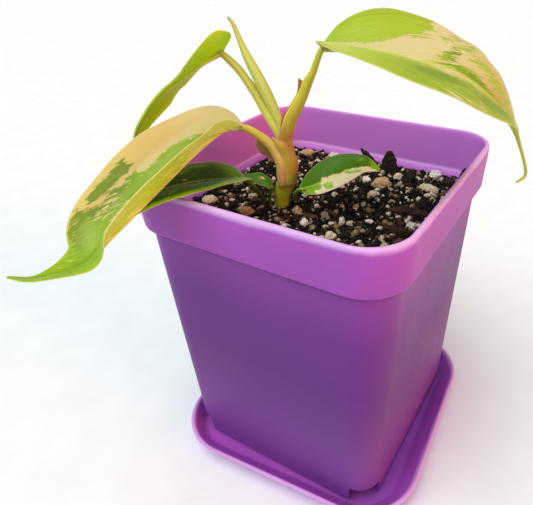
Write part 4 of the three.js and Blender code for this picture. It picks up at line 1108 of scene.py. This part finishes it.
def living_leaf(name, colours, roughness, vein, under=False):
    """A living leaf blade with a thin wax bloom. Pigment lies in streaks that follow the side veins, so the
    edges of each patch are ragged, and the wax gives a wide pale sheen, partly through its coat and partly as
    a painted sheen mixed into the colour."""
    cream, tan, green, deep = colours
    finish = Finish(name, IOR=1.42, Specular_IOR_Level=0.2, Subsurface_Weight=0.8, Subsurface_Scale=0.0022,
                    Subsurface_Radius=(0.9, 1.0, 0.35), Coat_Weight=0.03, Coat_Roughness=0.3)
    run = finish.uv("vein")
    # one unit is 100 mm: streaks are about 1 mm wide and 8 mm long, and flecks about 0.4 by 1.5 mm
    streak = finish.stretched_noise(run, (40.0, 34.0), 5.0, 0.62)
    fleck = finish.stretched_noise(run, (105.0, 150.0), 3.0, 0.6)

    def streaked(name, amount, flecks=None):
        """A field of the blade, broken up by the streaks and by the flecks."""
        broken = finish.math("MULTIPLY_ADD", streak, amount, finish.field(name))
        return finish.math("MULTIPLY_ADD", fleck, flecks, broken) if flecks else broken

    is_green = finish.remap(streaked("green", 1.5, 0.8), 1.10, 1.21, interpolation_type="SMOOTHSTEP")
    pale = finish.mix(finish.remap(streaked("tan", 0.5), 0.2, 1.2), cream, tan)
    leafy = finish.mix(finish.remap(streaked("deep", 1.3, 0.6), 1.0, 1.6), green, deep)
    # a pale blue-green mixed into the green: paler pigment in places, and in places a painted sheen
    paled_and_sheened = finish.mix(finish.remap(streaked("wash", 0.9), 0.52, 1.35, 0.0, 0.85), leafy, "#CADA7C")
    skin = finish.mix(is_green, pale, paled_and_sheened)
    # side veins: faint pale lines that dip on the upper side and stand up below
    bands = finish.add("ShaderNodeTexWave", {"Vector": run, "Scale": 0.1 / vein * 0.5, "Distortion": 1.2,
                                             "Detail": 1.0, "Detail Scale": 0.6},
                       wave_type="BANDS", bands_direction="X", wave_profile="SIN").outputs["Fac"]
    line = finish.math("MULTIPLY", finish.remap(bands, 0.80, 1.0), 0.10 if under else 0.04)
    veined = finish.mix(line, skin, cream)
    # the midrib and the very edge are paler
    across = finish.math("SUBTRACT", finish.axis(finish.uv("blade"), "Y"), 0.5)
    off = finish.math("ABSOLUTE", across)
    rib = finish.remap(off, 0.006, 0.03, 0.75 if under else 0.45, 0.0)
    ribbed = finish.mix(rib, veined, "#E2DC90" if under else "#D4D47A")
    finish.feed("Base Color", finish.mix(finish.remap(off, 0.485, 0.5, 0.0, 0.5), ribbed, cream))
    finish.feed("Roughness", finish.remap(fleck, 0.3, 0.7, roughness - 0.05, roughness + 0.08))
    height = finish.math("MULTIPLY_ADD", bands, 1.0 if under else -1.0, fleck)
    finish.relief((height, 0.08, 0.0001))
    return finish.material


def living_stalk(name, stops, streak_colour, amount=0.5):
    """A juicy leaf stalk under a thin wax. Fine ridges run along it, and its colour changes from foot to
    blade. Stops without places are spread evenly."""
    finish = Finish(name, IOR=1.42, Roughness=0.38, Specular_IOR_Level=0.35, Subsurface_Weight=0.5,
                    Subsurface_Scale=0.0025, Subsurface_Radius=(1.0, 0.8, 0.3))
    run = finish.uv("blade")
    if isinstance(stops[0], str):
        stops = [(number / (len(stops) - 1), code) for number, code in enumerate(stops)]
    tone = finish.ramp(finish.axis(run, "X"), stops)
    # ridges: a dozen round the stalk, long and thin
    ridges = finish.stretched_noise(run, (2.5, 12.0), 4.0, 0.6)
    finish.feed("Base Color", finish.mix(finish.remap(ridges, 0.45, 0.75, 0.0, amount), tone, streak_colour))
    finish.relief((ridges, 0.35, 0.0004))
    return finish.material


def papery_sheath(name, stops):
    """A drying leaf sheath: a thin skin with threads along it, whose free edge has turned pink or brown."""
    finish = Finish(name, IOR=1.4, Roughness=0.45, Specular_IOR_Level=0.3, Subsurface_Weight=0.4,
                    Subsurface_Scale=0.0015)
    run = finish.uv("blade")
    threads = finish.stretched_noise(run, (3.0, 16.0), 4.0)
    blend = finish.math("MULTIPLY_ADD", threads, 0.3, finish.axis(run, "Y"))
    finish.feed("Base Color", finish.ramp(finish.remap(blend, 0.15, 1.15), stops))
    finish.relief((threads, 0.25, 0.0003))
    return finish.material


def add_blade(shape, leaf, markings, columns, rows, thick):
    """Adds both faces of a blade, its rounded edge and its midrib."""
    t = np.linspace(0, 1, rows)[:, None] * np.ones(columns)
    # columns gather at the midrib, where the relief is
    spread = np.linspace(-1, 1, columns)
    u = np.ones((rows, 1)) * np.sign(spread) * np.abs(spread) ** 1.25
    point, off, full = blade_points(leaf, t, u)
    length = np.cumsum(np.r_[0, np.linalg.norm(np.diff(point[:, columns // 2], axis=0), axis=1)])
    along = length[:, None] * np.ones(columns)
    normal = unit(np.cross(np.gradient(point, axis=0), np.gradient(point, axis=1)))
    # side veins and streaks leave the midrib at about 23 degrees, and the margin waves a little
    vein_place = along - 2.4 * np.abs(off)
    wide = np.clip(full / 8, 0, 1)
    wave = leaf.get("wave", 0.0) * np.abs(u) ** 2 * np.sin(along * 0.42 + 2.0 * np.sign(u)) * wide
    groove = -0.22 * np.exp(-(off / 0.8) ** 2) * wide
    middle = point + normal * (wave + groove)[..., None]
    half = (thick / 2) * (0.35 + 0.65 * (1 - np.abs(u) ** 6))
    ridge = leaf["rib"] * (1 - t) ** 0.8 * np.exp(-(off / 0.75) ** 2) + 0.12 * np.exp(-(off / 0.6) ** 2)
    for upper in (True, False):
        shift = half if upper else -(half + ridge)
        fields = {**dict.fromkeys(("green", "wash", "deep", "tan"), 0.0), **markings(t, u, upper)}
        values = {key: np.broadcast_to(field, t.shape).ravel() for key, field in fields.items()}
        # the under side lies 3 units on, so its streaks differ from those above
        values["vein"] = np.stack([vein_place / 100 + (0 if upper else 3.0), off / 100], -1).reshape(-1, 2)
        values["blade"] = np.stack([t, 0.5 + u / 2], -1).reshape(-1, 2)
        shape.add(middle + normal * shift[..., None], grid_faces(rows, columns, flip=not upper),
                  slot=0 if upper else 1, **values)
    # walls round the edge join the two faces
    ring = [i * columns + j for i, j in border(rows, columns)]
    above, below = ([shape.count - sides * t.size + i for i in ring] for sides in (2, 1))
    walls = bridge(above, below)
    shape.faces += walls
    shape.slots += [0] * len(walls)


def add_stalk(shape, slot, route, *sizes, profile=None):
    """Adds a stalk along a route; its place along and round it goes with the mesh."""
    points, faces, run, turn = tube(route, *sizes, profile=profile)
    both = np.stack([run, turn], -1)
    shape.add(points, faces, slot=slot, vein=both, blade=both)


class PLANT_OT_leaves(bpy.types.Operator):
    """Make the six open leaves, each with its petiole"""
    bl_idname = "plant.leaves"
    bl_label = "Leaves"

    def execute(self, context):
        settings = context.scene.plant_leaf
        for name, leaf in LEAVES.items():
            markings, upper, under, rough, stops, streak = LEAF_FINISH[name]
            # a blade whose left half is over 9 mm wide has the finer grid
            big = max(row[5] for row in leaf["stations"]) > 9
            shape = Shape()
            add_blade(shape, leaf, markings, 61 if big else 41, 220 if big else 110, settings.blade / MM)
            add_stalk(shape, 2, leaf["petiole"], profile=lambda t, a: 1 + 0.035 * np.cos(6 * a))
            words = name.replace("_", " ")
            vein = settings.vein_spacing
            materials = [living_leaf(f"waxy {words}, upper side", upper, rough, vein),
                         living_leaf(f"waxy {words}, under side", under, rough + 0.06, vein, under=True),
                         living_stalk(f"{words} stalk", stops, streak)]
            finish_piece(shape.make(name + "_living", materials, sharp=70), leaf["slot"], name)
        return {"FINISHED"}


class PLANT_OT_shoot(bpy.types.Operator):
    """Make the shoot, the rolled new leaf and the papery sheath"""
    bl_idname = "plant.shoot"
    bl_label = "Shoot"

    def execute(self, context):
        shoot = Shape()
        add_stalk(shoot, 0, INTERNODE, 40, 10,
                  profile=lambda t, a: 1 + 0.03 * np.cos(3 * a + 1) + 0.05 * (t > 0.93))
        add_stalk(shoot, 1, BUNDLE, 40, 12,
                  profile=lambda t, a: 1 + 0.06 * np.cos(2 * a + 0.6) + 0.03 * np.cos(5 * a))
        green = living_stalk("green internode", [(0.0, "#9A9E22"), (0.5, "#B6BE28"), (0.9, "#C2C82E"),
                                                 (1.0, "#B49C32")], "#C6CA50", 0.35)
        rolled = living_stalk("rolled petiole bases", [(0.0, "#A87832"), (0.2, "#B68A36"), (0.5, "#C49C38"),
                                                       (0.8, "#C89A3C"), (1.0, "#CCA440")], "#CC8A5A")
        finish_piece(shoot.make("living_shoot", [green, rolled], sharp=70), "stem", "main_stem")

        def winding(t, a):
            """The rolled blade: its free edge winds round once as a low step."""
            return 1 + 0.10 * (((a / (2 * math.pi) + 0.5 * t + 0.15) % 1.0) - 0.5) + 0.02 * np.cos(5 * a)

        spear = Shape()
        add_stalk(spear, 0, SPEAR, 44, 10, profile=winding)
        pale = living_stalk("rolled young blade", [(0.0, "#B8A84A"), (0.15, "#C6C45A"), (0.5, "#CBCF66"),
                                                   (0.85, "#B9C04E"), (1.0, "#A9A870")], "#A2A82E")
        finish_piece(spear.make("rolled_new_leaf", [pale], sharp=50), "leaf_lime", "new_leaf")

        sheath = Shape()
        for slot, (inner, outer, cup) in enumerate(self.skins()):
            points, faces, both = skin(inner, outer, cup)
            sheath.add(points, faces, slot=slot, blade=both)
        papers = [
            papery_sheath("drying stipule", [(0.0, "#B8A868"), (0.45, "#93923C"), (0.75, "#B98A6A"),
                                             (1.0, "#D6A0A8")]),
            papery_sheath("sheath round the shoot", [(0.0, "#D0C25A"), (0.3, "#C4B844"), (0.75, "#C8A444"),
                                                     (0.92, "#C4925C"), (1.0, "#C48A72")]),
            papery_sheath("petiole wing", [(0.0, "#D6C644"), (0.4, "#C8A048"), (0.8, "#C4743C"),
                                           (1.0, "#B06A50")]),
            papery_sheath("orange-brown wing", [(0.0, "#CDB85C"), (0.5, "#D0AA56"), (1.0, "#CC9A62")])]
        piece = sheath.make("drying_sheath", papers, sharp=70)
        fine = bmesh.new()
        fine.from_mesh(piece.data)
        bmesh.ops.recalc_face_normals(fine, faces=fine.faces)
        fine.to_mesh(piece.data)
        fine.free()
        finish_piece(piece, "papery_sheath", "petiole_sheath")
        return {"FINISHED"}

    def skins(self):
        """The inner and the free edge of each thin skin, and how far it bulges between them."""
        petiole = np.array(LEAVES["leaf_front"]["petiole"])[:5, :3] + TO_RIGHT * 1.45 + TO_VIEWER
        bundle = np.array([(-8.5, -8.7, 114.3), (-8.4, -8.0, 118.3), (-8.6, -7.7, 122.6), (-9.4, -7.9, 127.0),
                           (-9.7, -8.1, 130.2)])
        reach = [(2.6, -0.6), (2.8, -0.2), (2.8, 0.7), (2.0, 2.3), (0.2, 3.6)]
        hood = [spot + TO_RIGHT * r + TO_VIEWER * f for spot, (r, f) in zip(bundle, reach)]
        hood.append(np.array([-12.0, -12.9, 132.2]))
        wing = np.array(LEAVES["leaf_right"]["petiole"])[1:6]
        further = (0.5, 0.6, 0.4, 0.3, 1.3)
        wing_out = [row[:3] - TO_RIGHT * (row[3] + more) for row, more in zip(wing, further)]
        wing_out[-1] = wing_out[-1] + [0, 0, 1.2]
        rib = np.array(LEAVES["leaf_back"]["petiole"])[3:8]
        rib_out = [row[:3] + TO_RIGHT * (row[3] + more) + TO_VIEWER * 0.8
                   for row, more in zip(rib, (0.4, 0.9, 1.2, 1.0, 0.2))]
        return [(SHEATH_INNER, SHEATH_OUTER, 0.5), (petiole, hood, 0.9),
                (wing[:, :3] - TO_RIGHT * (wing[:, 3:] - 0.4), wing_out, 0.0),
                (rib[:, :3] + TO_RIGHT * (rib[:, 3:] - 0.5) + TO_VIEWER * 0.5, rib_out, 0.1)]


def skin(inner, outer, cup, thick=0.24, rows=36, columns=14):
    """A thin closed skin between two edges, as points, faces and places along and across it. It bulges by cup
    towards the viewer, and its free edge ripples."""
    t, share = np.linspace(0, 1, rows), np.linspace(0, 1, columns)
    near, far = between(inner, t), between(outer, t)
    point = near[:, None] + (far - near)[:, None] * share[None, :, None]
    normal = unit(np.cross(np.gradient(point, axis=0), np.gradient(point, axis=1)))
    if cup and (normal @ (TO_VIEWER + [0, 0, 0.2])).mean() < 0:
        normal = -normal
    lift = cup * np.sin(share * math.pi)[None, :] + 0.1 * np.sin(t * 17)[:, None] * share[None, :]
    point = point + normal * lift[..., None]
    both = np.stack([np.repeat(t, columns), np.tile(share, rows)], -1)
    faces, count = grid_faces(rows, columns), rows * columns
    faces += [[i + count for i in face[::-1]] for face in faces]
    ring = [i * columns + j for i, j in border(rows, columns)]
    faces += [face[::-1] for face in bridge(ring, [i + count for i in ring])]
    lift = normal * thick / 2
    points = np.concatenate([(point + lift).reshape(-1, 3), (point - lift).reshape(-1, 3)])
    return points, faces, np.concatenate([both, both])


# The stage.

# The camera fitted to the photo: its place in metres, its axes, its focal length and the picture's width in
# pixels, and how far the picture's centre is shifted, as shares of that width.
CAMERA_AT = Vector((0.08606, -0.14387, 0.19013))
CAMERA_FORWARD = Vector((-0.4365, 0.7450, -0.5044))
CAMERA_RIGHT = Vector((0.8675, 0.4972, -0.0163))
FOCAL_PIXELS, FRAME_WIDTH = 502.16, 533.0
CENTRE_SHIFT = (61.12 / 533, -22.35 / 533)


def aim(obj, at, target):
    """Puts a light at a place and turns it to a target."""
    obj.location = at
    obj.rotation_euler = (Vector(target) - Vector(at)).to_track_quat("-Z", "Y").to_euler()


class PLANT_OT_studio(bpy.types.Operator):
    """Make the pale floor, the soft lights and the camera"""
    bl_idname = "plant.studio"
    bl_label = "Studio"

    def execute(self, context):
        settings = context.scene.plant_studio
        scene = context.scene
        bpy.ops.mesh.primitive_plane_add(size=8.0, location=(0, 0, -0.0001))
        floor = context.active_object
        floor.name = "floor"
        board = Finish("matt white board", Roughness=0.9, Specular_IOR_Level=0.1)
        grain = board.noise(board.place(), 60.0, 2.0)
        board.feed("Base Color", board.ramp(grain, [(0.3, "#E8F2F3"), (0.7, "#ECF6F7")]))
        floor.data.materials.append(board.material)

        world = bpy.data.worlds.new("soft room")
        world.use_nodes = True
        backdrop = world.node_tree.nodes["Background"]
        backdrop.inputs["Color"].default_value = (0.96, 0.97, 1.0, 1.0)
        backdrop.inputs["Strength"].default_value = settings.sky
        scene.world = world
        for name, power, colour, spread, at in (
                ("key", settings.key, (1.0, 0.99, 0.97), 50, (-0.12, -0.35, 0.90)),
                ("right", settings.side, (1.0, 0.27, 0.12), 35, (0.90, 0.00, 0.25)),
                ("fill", settings.fill, (0.80, 0.88, 1.0), 60, (-0.25, -0.90, 0.30))):
            lamp = bpy.data.lights.new(name, "SUN")
            lamp.energy = power
            lamp.color = colour
            lamp.angle = math.radians(spread)
            aim(new_object(name, lamp), at, (0, 0, 0))

        eye = bpy.data.cameras.new("camera")
        eye.sensor_fit = "HORIZONTAL"
        eye.sensor_width = 36.0
        eye.lens = 36.0 * FOCAL_PIXELS / FRAME_WIDTH
        eye.shift_x, eye.shift_y = -CENTRE_SHIFT[0], CENTRE_SHIFT[1]
        eye.clip_start = 0.01
        holder = new_object("camera", eye)
        forward = CAMERA_FORWARD.normalized()
        right = (CAMERA_RIGHT - forward * CAMERA_RIGHT.dot(forward)).normalized()
        turn = Matrix((right, right.cross(forward), -forward)).transposed()
        holder.matrix_world = Matrix.Translation(CAMERA_AT) @ turn.to_4x4()
        scene.camera = holder
        scene.view_settings.view_transform = "Standard"
        scene.view_settings.look = "None"
        return {"FINISHED"}


MAKERS = (PLANT_OT_pot, PLANT_OT_saucer, PLANT_OT_mix, PLANT_OT_stones, PLANT_OT_bark, PLANT_OT_leaves,
          PLANT_OT_shoot, PLANT_OT_studio)


class PLANT_PT_panel(bpy.types.Panel):
    """Lists the pieces of the potted plant"""
    bl_idname = "PLANT_PT_panel"
    bl_label = "Potted plant"
    bl_space_type = "VIEW_3D"
    bl_region_type = "UI"
    bl_category = "Plant"

    def draw(self, context):
        for maker in MAKERS:
            self.layout.operator(maker.bl_idname)
        for group in SETTINGS:
            box = self.layout.box()
            for key in SETTINGS[group].__annotations__:
                box.prop(getattr(context.scene, group), key)


SETTINGS = {"plant_pot": PotSettings, "plant_mix": MixSettings, "plant_leaf": LeafSettings,
            "plant_studio": StudioSettings}


def register():
    for part in (*SETTINGS.values(), *MAKERS, PLANT_PT_panel):
        bpy.utils.register_class(part)
    for name, group in SETTINGS.items():
        setattr(bpy.types.Scene, name, PointerProperty(type=group))


def unregister():
    for name in SETTINGS:
        delattr(bpy.types.Scene, name)
    for part in reversed((*SETTINGS.values(), *MAKERS, PLANT_PT_panel)):
        bpy.utils.unregister_class(part)


def main():
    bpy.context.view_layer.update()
    register()
    for maker in MAKERS:
        group, name = maker.bl_idname.split(".")
        getattr(getattr(bpy.ops, group), name)()
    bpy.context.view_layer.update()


if __name__ == "__main__":
    main()
